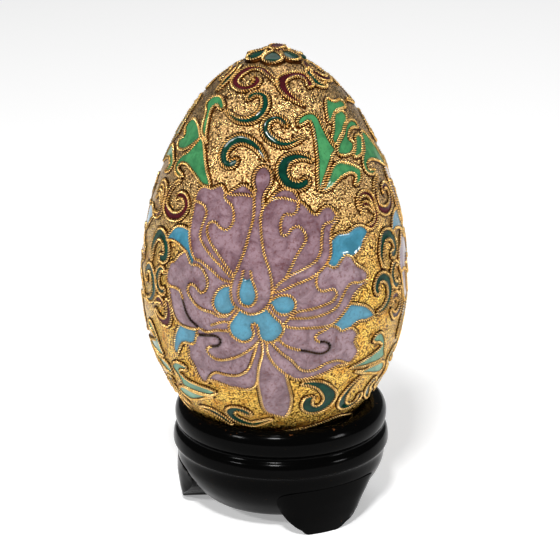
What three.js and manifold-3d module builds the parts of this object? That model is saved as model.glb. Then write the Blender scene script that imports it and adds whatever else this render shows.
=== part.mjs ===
// A cloisonné enamel egg on a lacquered wooden stand, in millimetres, +Z up.
// The origin is on the floor, under the egg's own axis.
// Places on the egg are [longitude, latitude] in degrees: longitude 0 faces -Y and grows
// towards +X, latitude -90 is the egg's bottom and +90 its top.

import * as THREE from 'three';
import { mergeVertices } from 'three/addons/utils/BufferGeometryUtils.js';
import Module from 'manifold-3d';

const wasm = await Module();
wasm.setup();

// ---- driving dimensions -------------------------------------------------------------

const EGG_HEIGHT = 76;
const EGG_RADIUS = 25;
const EGG_BOTTOM = 11.5; // height of the egg's lowest point over the floor
const EGG_TAPER = [0.133, -0.027, -0.047]; // how the oval leaves an ellipse: blunt end down
const GIRTH_SIDES = 30;
const LATITUDE_STEP = 12;

const ENAMEL_THICKNESS = 0.6;
const GROUND_SUNK = 0.1; // the gilded ground lies this far under the enamel's face
const SKIN_GAP = 0.3;
const COPPER_THICKNESS = 1.1;
const WIRE_CHANNEL = 0.7; // width left between fields for the twisted wires
const SEAM_LATITUDE = -4;
const SEAM_LIP = 1.6; // height of the lower half's lip inside the upper half
const POLE_HOLE_RADIUS = 0.9;
const REPEATS = 3;
const MERIDIAN_RADIUS = 38; // turns degrees of latitude into millimetres near the girth
const PRISM_OUTSIDE = -8; // a field's cutting prism starts well clear of the egg's face
const PRISM_INSIDE = 3;
const ENAMEL_LATITUDES = [-70, 84];
const GROUND_LATITUDES = [-84, 87];

const KNOB_SIDES = 16;
// [radius, height over the egg's top] of the gilt knob and of the rivet under it
const KNOB_PROFILE = [
  [0, -3.1], [0.55, -3.1], [0.55, 0.4], [1.6, 0.5], [1.9, 0.9], [1.7, 1.4], [1.3, 1.55],
  [0.95, 1.9], [0, 2],
];

const STAND_OFFSET = 1.2; // the stand was turned a little off the egg's axis
const SEAT_CLEARANCE = 0.3;
const DISH_FLOOR = 6.5;
const DISH_FLOOR_RADIUS = 9;
const DISH_LATITUDES = [-58, -24]; // where the dish follows the egg
const STAND_SIDES = 36;
// [radius, height] up the turned outside, about the stand's own axis
const STAND_OUTSIDE = [
  [14.4, 1.6], [15.2, 2.1], [16.8, 3.9], [18.6, 6.3], [19.8, 9], [20.2, 11.8],
  [20.6, 12.4], [20.6, 13.8], [20.2, 15.1], [19.5, 15.8], [20.1, 17], [20.2, 18.8],
  [19.7, 20.2], [18.6, 21],
];

const FOOT_DIRECTIONS = [30, 150, -96]; // longitudes round the stand's axis
const FOOT_NAMES = ['foot_front_right', 'foot_rear_right', 'foot_left'];
const FOOT_GAP = 0.4;
// [degrees from the foot's middle, height] round one half of its silhouette
const FOOT_OUTLINE = [
  [12, -1], [12, 0.8], [17, 1.8], [24, 3.8], [29, 6.4], [28, 8.2], [14, 9],
];
// [radius, height] down the foot's outer face
const FOOT_FACE = [[19.4, 0], [19.9, 3], [20.5, 6.5], [20.8, 9.6]];
const FOOT_HEEL_RADIUS = 14.8;

const PALETTE = {
  lilac: { color: 0x9b8198, roughness: 0.2, metalness: 0 },
  blue: { color: 0x3e90b4, roughness: 0.18, metalness: 0 },
  green: { color: 0x4c9560, roughness: 0.18, metalness: 0 },
  seaGreen: { color: 0x5f9c86, roughness: 0.18, metalness: 0 },
  gilt: { color: 0xcf9f45, roughness: 0.4, metalness: 1 },
  copper: { color: 0xb56b3c, roughness: 0.35, metalness: 1 },
  lacquer: { color: 0x0d0c0d, roughness: 0.12, metalness: 0 },
};

// The enamel fields of one repeat, each by the middle line of the wire round it.
const FIELDS = [
  { name: 'petal_centre', finish: 'lilac', outline: [
    [-9.3, 25], [-10, 18.3], [-13, 11], [-16.3, 5.5], [-17.8, 1], [-16.5, -2.8], [-12.2, -4.7],
    [-7, -5], [-2.6, -3], [-0.4, 1.4], [-1.2, 6.3], [-3.9, 11.5], [-5.4, 17.7], [-5.2, 26],
    [-1.5, 29.3], [-1, 32.5], [-4.5, 35], [-8.5, 33.8], [-9.6, 30.5],
  ] },
  { name: 'petal_upper_right', finish: 'lilac', outline: [
    [-4.6, 23.6], [0, 26.2], [7, 26.3], [14.5, 24.6], [19, 21.4], [25, 23], [30.4, 21],
    [27.1, 16.7], [25.7, 11.2], [21.9, 7], [13, 3.9], [3.4, 1.4], [0.2, 1.4], [-1.2, 6.3],
    [-3.9, 11.5], [-5.4, 17.7],
  ] },
  { name: 'petal_upper_left', finish: 'lilac', outline: [
    [-17.3, 4], [-24.9, 5], [-32.7, 7.6], [-38, 10], [-40.5, 15], [-40.5, 24], [-37.5, 27.7],
    [-30.1, 28.4], [-24.2, 27.2], [-17, 27.1], [-10, 26.6], [-9.8, 18.3], [-12.5, 11.8],
  ] },
  { name: 'petal_side_left', finish: 'lilac', outline: [
    [-18.5, 3.4], [-19.5, -6], [-19.4, -10.6], [-27, -11.3], [-35, -12], [-41.5, -11.4],
    [-47, -8], [-50, -2], [-51, 2], [-48, 5.8], [-42, 8.8], [-38.5, 7.6], [-32.7, 7.3],
    [-24.9, 4.8],
  ] },
  { name: 'petal_side_right', finish: 'lilac', outline: [
    [1, -0.4], [3.4, 1.2], [13, 3.7], [21.9, 6.8], [27.1, 6.5], [32, 8.9], [37.2, 6.6],
    [43.3, 3], [40, -0.2], [34, -3.4], [28, -7.8], [24.2, -9.4], [11.2, -9.3], [4.6, -7.6],
    [0.4, -4.6],
  ] },
  { name: 'petal_lower_right', finish: 'lilac', outline: [
    [-1.8, -14], [3, -12], [5.4, -8.6], [11.2, -9.5], [24.2, -9.7], [30, -11.8], [37, -13.4],
    [36.6, -16.4], [38.7, -19.4], [35.4, -22.8], [26, -23.6], [18, -25.5], [8, -25], [3.6, -22],
    [-0.6, -19.6],
  ] },
  { name: 'petal_lower_left', finish: 'lilac', outline: [
    [-5.4, -14.4], [-13, -14], [-19, -11.2], [-27, -11.7], [-33.2, -13], [-35.3, -16.7],
    [-39.8, -17.6], [-39.5, -21.6], [-36.6, -25.3], [-33.5, -29.3], [-27, -28.2], [-16, -29.4],
    [-8.4, -28.4], [-6.9, -23.8], [-4.9, -17.3],
  ] },
  { name: 'petal_bottom', finish: 'lilac', outline: [
    [-4.5, -15.6], [-6.7, -23.8], [-6.6, -30], [-5.2, -37], [-2.5, -39.8], [4.5, -41.4],
    [7.4, -40], [8.6, -34], [6.6, -27.4], [4, -22.8], [-1, -19.8], [-2.6, -16],
  ] },
  { name: 'blue_centre', finish: 'blue', outline: [
    [-14.5, -5.2], [-18.4, -8.3], [-17.6, -11.6], [-12.5, -13.4], [-6.6, -12.9], [-0.8, -13.2],
    [3.4, -10.8], [3.4, -7.7], [-1.2, -4.4], [-5, -4.9], [-9, -5.6],
  ] },
  { name: 'blue_leaf_upper_right', finish: 'blue', outline: [
    [26, 14.4], [34, 15.3], [42, 16.4], [46.7, 14], [43, 11.2], [38.5, 8.6], [33, 9.6],
    [27.6, 6.9], [24.4, 8.2],
  ] },
  { name: 'blue_leaf_lower_right', finish: 'blue', outline: [
    [26, -9.6], [31, -6.2], [36, -4.8], [42, -6.2], [46.6, -9.8], [39, -10.3], [33.5, -11],
  ] },
  { name: 'blue_leaf_upper_left', finish: 'blue', outline: [
    [-54.2, 10.6], [-51, 14], [-46, 15.4], [-41, 15.2], [-39.6, 11.6], [-42.5, 9.6],
    [-48, 10.9],
  ] },
  { name: 'blue_leaf_lower_left', finish: 'blue', outline: [
    [-33.8, -13], [-42, -12], [-46.2, -15.5], [-48.5, -20.8], [-46.6, -22], [-42.6, -17.9],
    [-35.8, -16.6],
  ] },
  { name: 'green_leaf_left', finish: 'green', outline: [
    [-33.6, 28.3], [-40, 34.6], [-46, 40], [-50.6, 41.4], [-56, 36.8], [-62.4, 34.2],
    [-63, 32.2], [-58, 31.8], [-48, 30.6], [-40, 28.4],
  ] },
  { name: 'green_leaf_right', finish: 'green', outline: [
    [23.5, 27.8], [24.4, 35], [26.6, 42], [27.6, 47], [24, 49], [18.4, 48.2], [18, 50.6],
    [24, 52.4], [31.5, 52], [35.4, 46], [38.9, 38.8], [33, 35.3],
  ] },
  { name: 'sea_leaf_left', finish: 'seaGreen', outline: [
    [-28, -32.6], [-38, -31.5], [-48, -30.4], [-53.5, -31.5], [-56.5, -36], [-52, -39.4],
    [-42, -38.2], [-33, -35.6],
  ] },
  { name: 'sea_leaf_right', finish: 'seaGreen', outline: [
    [37, -24.8], [46, -23], [54.6, -21.2], [58.4, -22.4], [61.6, -27], [62.4, -32], [56, -30.6],
    [45, -28],
  ] },
];

// ---- helpers ------------------------------------------------------------------------

const radians = THREE.MathUtils.degToRad;

/** The egg's half section at an unscaled cosine of the angle from its bottom. */
function ovalRadius(cosine) {
  const [a, b, c] = EGG_TAPER;
  return Math.sqrt(1 - cosine * cosine) * (1 + a * cosine + b * cosine ** 2 + c * cosine ** 3);
}

/** The scale that gives the oval its stated greatest radius. */
function ovalScale() {
  let widest = 0;
  for (let degree = 0; degree <= 180; degree += 0.5) {
    widest = Math.max(widest, ovalRadius(Math.cos(radians(degree))));
  }
  return EGG_RADIUS / widest;
}

const OVAL_SCALE = ovalScale();

/** [radius, height] of the egg's outer face at a latitude. */
function eggSection(latitude) {
  const cosine = Math.cos(radians(latitude + 90));
  return [OVAL_SCALE * ovalRadius(cosine), EGG_BOTTOM + (EGG_HEIGHT / 2) * (1 - cosine)];
}

/** [radius, height] at a depth under the egg's outer face. */
function sunkSection(latitude, depth) {
  const small = 0.05;
  const [r0, z0] = eggSection(Math.max(latitude - small, -90));
  const [r1, z1] = eggSection(Math.min(latitude + small, 90));
  const [radius, height] = eggSection(latitude);
  const length = Math.hypot(r1 - r0, z1 - z0);
  return [
    Math.max(radius - (depth * (z1 - z0)) / length, 0),
    height + (depth * (r1 - r0)) / length,
  ];
}

/** A point at a longitude, latitude and depth. */
function eggPoint(longitude, latitude, depth) {
  const [radius, height] = sunkSection(latitude, depth);
  const turn = radians(longitude);
  return new THREE.Vector3(radius * Math.sin(turn), -radius * Math.cos(turn), height);
}

/** Latitudes from one to another, in whole steps between them. */
function latitudes(from, to) {
  const list = [from];
  const step = LATITUDE_STEP;
  for (let value = Math.ceil((from + step / 4) / step) * step; value < to - step / 4; value += step) {
    list.push(value);
  }
  list.push(to);
  return list;
}

/** Turns [radius, height] pairs round the Z axis. */
function turned(profile, sides) {
  const points = profile.map(([radius, height]) => new THREE.Vector2(radius, height));
  return new THREE.LatheGeometry(points, sides).rotateX(Math.PI / 2);
}

/** A manifold solid from closed three.js geometry, whichever way its faces point. */
function solid(geometry) {
  const bare = new THREE.BufferGeometry();
  bare.setAttribute('position', geometry.getAttribute('position'));
  bare.setIndex(geometry.getIndex());
  const merged = mergeVertices(bare, 1e-4);
  const points = merged.getAttribute('position').array;
  const corners = [];
  const index = merged.getIndex().array;
  let volume = 0;
  for (let i = 0; i < index.length; i += 3) {
    const [a, b, c] = [index[i], index[i + 1], index[i + 2]];
    if (a === b || b === c || c === a) {
      continue;
    }
    const p = new THREE.Vector3().fromArray(points, a * 3);
    const q = new THREE.Vector3().fromArray(points, b * 3);
    const r = new THREE.Vector3().fromArray(points, c * 3);
    volume += p.dot(q.cross(r));
    corners.push([a, b, c]);
  }
  const facing = volume > 0 ? corners : corners.map(([a, b, c]) => [a, c, b]);
  return new wasm.Manifold(new wasm.Mesh({
    numProp: 3,
    vertProperties: new Float32Array(points),
    triVerts: new Uint32Array(facing.flat()),
  }));
}

/** three.js geometry of a manifold solid. */
function geometryOf(body) {
  const mesh = body.getMesh();
  const geometry = new THREE.BufferGeometry();
  geometry.setAttribute('position', new THREE.BufferAttribute(mesh.vertProperties, 3));
  geometry.setIndex(new THREE.BufferAttribute(mesh.triVerts, 1));
  geometry.computeVertexNormals();
  return geometry;
}

/** The outline of a field moved outwards by a distance in millimetres. */
function grown(outline, distance) {
  const middle = outline.reduce((sum, [longitude]) => sum + longitude, 0) / outline.length;
  const flat = outline.map(([longitude, latitude]) => {
    const [radius] = eggSection(latitude);
    return new THREE.Vector2(radians(longitude - middle) * radius, radians(latitude) * MERIDIAN_RADIUS);
  });
  const clockwise = THREE.ShapeUtils.isClockWise(flat);
  return outline.map(([longitude, latitude], i) => {
    const before = flat[(i + flat.length - 1) % flat.length];
    const after = flat[(i + 1) % flat.length];
    const inward = flat[i].clone().sub(before).normalize();
    const onward = after.clone().sub(flat[i]).normalize();
    const normal = new THREE.Vector2(inward.y + onward.y, -inward.x - onward.x).normalize();
    const reach = Math.min(1 / Math.max(normal.dot(new THREE.Vector2(onward.y, -onward.x)), 0.4), 2.2);
    normal.multiplyScalar((clockwise ? -1 : 1) * distance * reach);
    const [radius] = eggSection(latitude);
    return [
      longitude + THREE.MathUtils.radToDeg(normal.x / radius),
      latitude + THREE.MathUtils.radToDeg(normal.y / MERIDIAN_RADIUS),
    ];
  });
}

/** A closed prism between an outer and an inner copy of an outline of [angle, height] corners. */
function prism(outline, outerPoint, innerPoint) {
  const count = outline.length;
  const contour = outline.map(([angle, height]) => new THREE.Vector2(angle, height));
  const points = [
    ...outline.map(([angle, height]) => outerPoint(angle, height)),
    ...outline.map(([angle, height]) => innerPoint(angle, height)),
  ];
  const turnsLeft = !THREE.ShapeUtils.isClockWise(contour);
  const index = [];
  for (const [a, b, c] of THREE.ShapeUtils.triangulateShape(contour, [])) {
    index.push(a, b, c, count + a, count + c, count + b);
  }
  for (let i = 0; i < count; i += 1) {
    const [from, to] = turnsLeft ? [(i + 1) % count, i] : [i, (i + 1) % count];
    index.push(from, to, count + to, from, count + to, count + from);
  }
  const geometry = new THREE.BufferGeometry();
  geometry.setFromPoints(points);
  geometry.setIndex(index);
  return solid(geometry);
}

/** A prism that stands square to the egg's face. */
function eggPrism(outline) {
  return prism(
    outline,
    (longitude, latitude) => eggPoint(longitude, latitude, PRISM_OUTSIDE),
    (longitude, latitude) => eggPoint(longitude, latitude, PRISM_INSIDE),
  );
}

/** A prism that stands out from the Z axis. */
function ringPrism(outline) {
  const at = (radius) => (angle, height) => new THREE.Vector3(
    radius * Math.sin(radians(angle)), -radius * Math.cos(radians(angle)), height);
  return prism(outline, at(2 * EGG_RADIUS), at(EGG_RADIUS / 5));
}

/** The largest separate solid in a manifold. */
function largest(body) {
  const pieces = body.decompose();
  return pieces.reduce((best, piece) => (piece.volume() > best.volume() ? piece : best));
}

/** The layer between two depths under the egg's face, between two latitudes. */
function layer(outside, inside, from, to) {
  const steps = latitudes(from, to);
  const profile = steps.map((latitude) => sunkSection(latitude, outside));
  const back = [...steps].reverse().map((latitude) => sunkSection(latitude, inside));
  return turned([...profile, ...back, profile[0]], GIRTH_SIDES);
}

// ---- the object ---------------------------------------------------------------------

const assembly = new THREE.Group();

/** Adds one named piece with its finish. */
function addPiece(name, geometry, finish) {
  const mesh = new THREE.Mesh(geometry, new THREE.MeshStandardMaterial(PALETTE[finish]));
  mesh.name = name;
  assembly.add(mesh);
}

/** Enamel fields of one repeat, and the holes that the ground leaves for them. */
function addFields(skin, turn, number) {
  const holes = [];
  for (const { name, finish, outline } of FIELDS) {
    const placed = outline.map(([longitude, latitude]) => [longitude + turn, latitude]);
    const field = skin.intersect(eggPrism(grown(placed, -WIRE_CHANNEL / 2)));
    addPiece(`${name}_${number}`, geometryOf(largest(field)), finish);
    holes.push(eggPrism(grown(placed, WIRE_CHANNEL / 2)));
  }
  return holes;
}

/** The egg's copper halves: the lower one has a lip that stands inside the upper one. */
function addCopperHalves() {
  const outside = ENAMEL_THICKNESS + SKIN_GAP;
  const inside = outside + COPPER_THICKNESS;
  const lipOutside = outside + COPPER_THICKNESS / 2 + SKIN_GAP / 2;
  const lipInside = outside + COPPER_THICKNESS / 2 - SKIN_GAP / 2;
  const lipTop = SEAM_LATITUDE + THREE.MathUtils.radToDeg(SEAM_LIP / MERIDIAN_RADIUS);
  const gap = THREE.MathUtils.radToDeg(SKIN_GAP / MERIDIAN_RADIUS);
  const poleTop = 90 - THREE.MathUtils.radToDeg(POLE_HOLE_RADIUS / EGG_RADIUS);
  const lower = latitudes(-poleTop, SEAM_LATITUDE);
  const upper = latitudes(SEAM_LATITUDE + gap, poleTop);
  const lowerProfile = [
    ...lower.map((latitude) => sunkSection(latitude, outside)),
    sunkSection(SEAM_LATITUDE, lipOutside),
    sunkSection(lipTop, lipOutside),
    sunkSection(lipTop, inside),
    ...lower.reverse().map((latitude) => sunkSection(latitude, inside)),
  ];
  const upperProfile = [
    ...upper.map((latitude) => sunkSection(latitude, outside)),
    ...upper.slice(1).reverse().map((latitude) => sunkSection(latitude, inside)),
    sunkSection(lipTop + gap, inside),
    sunkSection(lipTop + gap, lipInside),
    sunkSection(SEAM_LATITUDE + gap, lipInside),
  ];
  addPiece('lower_shell', turned([...lowerProfile, lowerProfile[0]], GIRTH_SIDES), 'copper');
  addPiece('upper_shell', turned([...upperProfile, upperProfile[0]], GIRTH_SIDES), 'copper');
}

/** The gilt knob with the rivet that holds it in the top hole. */
function addKnob() {
  const top = EGG_BOTTOM + EGG_HEIGHT;
  const profile = KNOB_PROFILE.map(([radius, height]) => [radius, height + top]);
  addPiece('top_knob', turned(profile, KNOB_SIDES), 'gilt');
}

/** The turned bowl, with a dish that follows the egg. */
function addStandBowl() {
  const topHeight = STAND_OUTSIDE[STAND_OUTSIDE.length - 1][1];
  const blank = [[0, STAND_OUTSIDE[0][1]], ...STAND_OUTSIDE, [0, topHeight]];
  const wood = solid(turned(blank, STAND_SIDES).translate(STAND_OFFSET, 0, 0));
  const dishSteps = latitudes(...DISH_LATITUDES).map((latitude) => (
    sunkSection(latitude, -SEAT_CLEARANCE)
  ));
  const dish = [
    [0, DISH_FLOOR],
    [DISH_FLOOR_RADIUS, DISH_FLOOR],
    ...dishSteps,
    [0, dishSteps[dishSteps.length - 1][1]],
  ];
  addPiece('stand_bowl', geometryOf(wood.subtract(solid(turned(dish, STAND_SIDES)))), 'lacquer');
}

/** Three bracket feet glued round the bowl's lower side. */
function addFeet() {
  const faceTop = FOOT_FACE[FOOT_FACE.length - 1][1];
  const skirt = STAND_OUTSIDE.filter(([, height]) => height < faceTop).reverse();
  const back = skirt.map(([radius, height]) => [radius + FOOT_GAP, height]);
  const ring = [...FOOT_FACE, ...back, [FOOT_HEEL_RADIUS, 0], FOOT_FACE[0]];
  const blank = solid(turned(ring, STAND_SIDES));
  const mirrored = [...FOOT_OUTLINE].reverse().map(([angle, height]) => [-angle, height]);
  const silhouette = [...FOOT_OUTLINE, ...mirrored];
  FOOT_DIRECTIONS.forEach((direction, i) => {
    const wedge = ringPrism(silhouette.map(([angle, height]) => [angle + direction, height]));
    const foot = largest(blank.intersect(wedge));
    addPiece(FOOT_NAMES[i], geometryOf(foot).translate(STAND_OFFSET, 0, 0), 'lacquer');
  });
}

addStandBowl();
addFeet();
addCopperHalves();
addKnob();

const enamelSkin = solid(layer(0, ENAMEL_THICKNESS, ...ENAMEL_LATITUDES));
let ground = solid(layer(GROUND_SUNK, ENAMEL_THICKNESS, ...GROUND_LATITUDES));
for (let repeat = 0; repeat < REPEATS; repeat += 1) {
  for (const hole of addFields(enamelSkin, (repeat * 360) / REPEATS, repeat + 1)) {
    ground = ground.subtract(hole);
  }
}
addPiece('gilded_ground', geometryOf(largest(ground)), 'gilt');

export default assembly;
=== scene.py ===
"""A cloisonné enamel egg on a turned, lacquered stand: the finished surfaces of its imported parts.

Places on the egg are (longitude, latitude) in degrees, as in the part: longitude 0 faces -Y and
grows towards +X. Sizes are in millimetres until a shape is placed, when they become metres.
"""

import logging
import math
from collections import defaultdict
from dataclasses import dataclass, field
from enum import Enum
from typing import Any, Callable, Iterable, Sequence

import bmesh
import bpy
import numpy as np
from mathutils import Matrix, Vector, noise
from mathutils.geometry import delaunay_2d_cdt
from mathutils.kdtree import KDTree


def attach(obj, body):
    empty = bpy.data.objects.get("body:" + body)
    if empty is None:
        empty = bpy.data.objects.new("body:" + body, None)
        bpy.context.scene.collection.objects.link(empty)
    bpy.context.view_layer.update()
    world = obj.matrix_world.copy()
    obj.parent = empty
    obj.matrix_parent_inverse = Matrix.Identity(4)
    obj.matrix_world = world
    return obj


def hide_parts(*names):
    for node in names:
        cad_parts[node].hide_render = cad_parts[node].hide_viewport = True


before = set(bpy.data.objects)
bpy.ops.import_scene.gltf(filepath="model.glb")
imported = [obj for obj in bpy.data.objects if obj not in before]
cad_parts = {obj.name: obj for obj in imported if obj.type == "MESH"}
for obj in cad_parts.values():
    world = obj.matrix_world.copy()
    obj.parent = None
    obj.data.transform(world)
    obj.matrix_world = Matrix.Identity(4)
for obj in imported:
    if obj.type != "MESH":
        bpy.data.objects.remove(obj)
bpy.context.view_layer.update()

LOG = logging.getLogger("cloisonne_egg")
MM = 0.001

Place = tuple[float, float]
Outline = Sequence[Place]
Rise = Callable[[np.ndarray], np.ndarray]


class Body(Enum):
    """The bodies of the frame that a piece can ride on."""

    STAND = "stand"
    EGG = "egg"


class Slot(Enum):
    """The record's material slots."""

    LACQUER = "black_lacquer"
    COPPER = "copper"
    GILT = "gilt"
    LILAC = "lilac_enamel"
    BLUE = "blue_enamel"
    GREEN = "green_enamel"
    SEA_GREEN = "sea_green_enamel"


# ---- the egg's own form ----------------------------------------------------------------------


@dataclass(frozen=True)
class EggForm:
    """The oval that every enamel field, wire and granule lies on.

    Args:
        bottom: Height of the lowest point over the floor, in mm.
        height: Length from bottom to top, in mm.
        radius: Largest radius, in mm.
        taper: How the oval leaves an ellipse, with its blunt end down.
    """

    bottom: float = 11.5
    height: float = 76.0
    radius: float = 25.0
    taper: tuple[float, float, float] = (0.133, -0.027, -0.047)

    def oval(self, latitude: np.ndarray) -> np.ndarray:
        """Gives the unscaled radius at each latitude."""
        fall = -np.sin(np.radians(latitude))
        first, second, third = self.taper
        shape = 1 + first * fall + second * fall**2 + third * fall**3
        return np.cos(np.radians(latitude)) * shape

    def section(self, latitude: np.ndarray) -> tuple[np.ndarray, np.ndarray]:
        """Gives the radius and the height at each latitude, in mm."""
        widest = self.oval(np.linspace(-90, 90, 721)).max()
        rise = self.bottom + self.height / 2 * (1 + np.sin(np.radians(latitude)))
        return self.radius / widest * self.oval(latitude), rise

    def place(self, spots: np.ndarray, lift: Any = 0.0) -> np.ndarray:
        """Puts chart places on the egg.

        Args:
            spots: Rows of longitude and latitude, in degrees.
            lift: Distance out along the surface's normal, in mm: one number or one a row.

        Returns:
            Rows of X, Y and Z in metres.
        """
        longitude, latitude = np.radians(spots[:, 0]), spots[:, 1]
        step = 0.05
        near = self.section(latitude - step)
        far = self.section(latitude + step)
        run, climb = far[0] - near[0], far[1] - near[1]
        length = np.hypot(run, climb)
        radius, rise = self.section(latitude)
        out = radius + lift * climb / length
        up = rise - lift * run / length
        return np.column_stack((out * np.sin(longitude), -out * np.cos(longitude), up)) * MM

    def trace(self, points: Outline, spacing: float, closed: bool = False) -> np.ndarray:
        """Draws a smooth line through chart places, in even steps along the surface.

        Args:
            points: Places that the line goes through.
            spacing: Step along the surface, in mm.
            closed: Whether the line comes back to its first place.

        Returns:
            Rows of longitude and latitude.
        """
        fine = smooth_line(points, closed, CHART_SCALE)
        steps = np.linalg.norm(np.diff(self.place(fine), axis=0), axis=1) / MM
        along = np.concatenate(([0.0], np.cumsum(steps)))
        stops = np.linspace(0, along[-1], max(int(along[-1] / spacing), 2) + 1)
        return np.column_stack([np.interp(stops, along, fine[:, k]) for k in (0, 1)])


EGG = EggForm()
# millimetres in a degree of longitude and of latitude, near the girth
CHART_SCALE = np.array([math.radians(EGG.radius), math.radians(EGG.height / 2)])
REPEAT_TURN = 120.0  # degrees from one repeat of the pattern to the next
REPEATS = (1, 2, 3)

CURVE_STEPS = 10  # pieces of a smooth line between two of its points
SHORTEST_GAP = 1e-4  # stops points that lie on each other from having no knot between them
# the knots that each round of the curve's blending runs between
KNOT_ROUNDS = (((0, 1), (1, 2), (2, 3)), ((0, 2), (1, 3)), ((1, 2),))


def turn_of(repeat: int) -> float:
    """Gives the longitude that a repeat of the pattern is turned by, in degrees."""
    return (repeat - 1) * REPEAT_TURN


def smooth_line(points: Outline, closed: bool, scale: np.ndarray) -> np.ndarray:
    """Runs a centripetal Catmull-Rom curve through points.

    Args:
        points: Points that the curve goes through.
        closed: Whether it comes back to the first point.
        scale: Size of a unit along each axis, used for the spacing of the knots.

    Returns:
        A fine polyline, which ends on its first point when it is closed.
    """
    spots = np.array(points, dtype=float)
    if closed:
        spots = np.vstack((spots[-1], spots, spots[0], spots[1]))
    else:
        spots = np.vstack((2 * spots[0] - spots[1], spots, 2 * spots[-1] - spots[-2]))
    share = np.linspace(0, 1, CURVE_STEPS, endpoint=False)[:, None]
    runs = []
    for before, start, end, after in zip(spots, spots[1:], spots[2:], spots[3:]):
        gaps = [np.linalg.norm(d * scale) for d in (start - before, end - start, after - end)]
        knots = np.concatenate(([0.0], np.cumsum(np.sqrt(np.maximum(gaps, SHORTEST_GAP)))))
        at = knots[1] + (knots[2] - knots[1]) * share
        blend = [before, start, end, after]
        for pairs in KNOT_ROUNDS:
            blend = [
                (near * (knots[j] - at) + far * (at - knots[i])) / (knots[j] - knots[i])
                for near, far, (i, j) in zip(blend, blend[1:], pairs)
            ]
        runs.append(blend[0])
    return np.vstack(runs + [spots[-2][None, :]])


# ---- node and mesh helpers -------------------------------------------------------------------


def linear(colour: str) -> tuple[float, float, float, float]:
    """Turns an sRGB hex colour into linear RGBA."""
    channels = [int(colour[i:i + 2], 16) / 255 for i in (1, 3, 5)]
    straight = [c / 12.92 if c <= 0.04045 else ((c + 0.055) / 1.055) ** 2.4 for c in channels]
    return (*straight, 1.0)


def per_metre(size: float) -> float:
    """Gives the texture scale whose features are a size across, in mm."""
    return 1 / (size * MM)


def add_node(
    tree: bpy.types.NodeTree,
    kind: str,
    settings: dict[str | int, Any] | None = None,
    links: dict[str | int, bpy.types.NodeSocket] | None = None,
) -> bpy.types.Node:
    """Adds a shader node.

    Args:
        tree: Node tree that the node goes into.
        kind: The node's type, such as ShaderNodeMix.
        settings: Values by lower-case property name or by input name or number; "stops"
            gives a colour ramp's two (position, hex colour) pairs.
        links: Sockets to join to the inputs, by input name or number.

    Returns:
        The new node.
    """
    node = tree.nodes.new(kind)
    for name, value in (settings or {}).items():
        if name == "stops":
            for element, (position, colour) in zip(node.color_ramp.elements, value):
                element.position = position
                element.color = linear(colour)
        elif isinstance(name, str) and name[0].islower():
            setattr(node, name, value)
        else:
            node.inputs[name].default_value = value
    for name, source in (links or {}).items():
        tree.links.new(source, node.inputs[name])
    return node


def placed(name: str, data: bpy.types.ID) -> bpy.types.Object:
    """Makes an object of a mesh, curve, light or camera, and links it to the scene."""
    made = bpy.data.objects.new(name, data)
    bpy.context.scene.collection.objects.link(made)
    return made


def finished_mesh(bm: bmesh.types.BMesh, name: str) -> bpy.types.Mesh:
    """Writes a bmesh into a smooth-shaded mesh and frees it."""
    mesh = bpy.data.meshes.new(name)
    bm.to_mesh(mesh)
    bm.free()
    mesh.polygons.foreach_set("use_smooth", [True] * len(mesh.polygons))
    return mesh


def deliver(
    name: str,
    mesh: bpy.types.Mesh,
    finish: "Finish",
    body: Body,
    replaces: Iterable[str] = (),
) -> bpy.types.Object:
    """Makes a finished piece of the object from a mesh.

    Args:
        name: The piece's name.
        mesh: Its mesh, already in place.
        finish: Its surface finish.
        body: Body of the frame that it moves with.
        replaces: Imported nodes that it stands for.

    Returns:
        The new object.
    """
    piece = placed(name, mesh)
    mesh.materials.clear()
    mesh.materials.append(finish.material())
    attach(piece, body.value)
    nodes = list(replaces)
    if nodes:
        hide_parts(*nodes)
    LOG.info("%s: %d faces on %s", name, len(mesh.polygons), body.value)
    return piece


# ---- finishes --------------------------------------------------------------------------------


@dataclass(frozen=True)
class Finish:
    """A surface finish, made into a material the first time that it is used."""

    name: str

    def material(self) -> bpy.types.Material:
        """Gives the material, making it when it isn't there yet."""
        made = bpy.data.materials.get(self.name)
        if made is None:
            made = bpy.data.materials.new(self.name)
            made.use_nodes = True
            made.node_tree.nodes.clear()
            self.build(made.node_tree)
        return made

    def build(self, tree: bpy.types.NodeTree) -> None:
        """Adds the finish's nodes to an empty tree."""
        raise NotImplementedError

    @staticmethod
    def output(tree: bpy.types.NodeTree, shader: bpy.types.Node) -> None:
        """Joins a shader to the material's output."""
        add_node(tree, "ShaderNodeOutputMaterial", links={"Surface": shader.outputs[0]})


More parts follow.
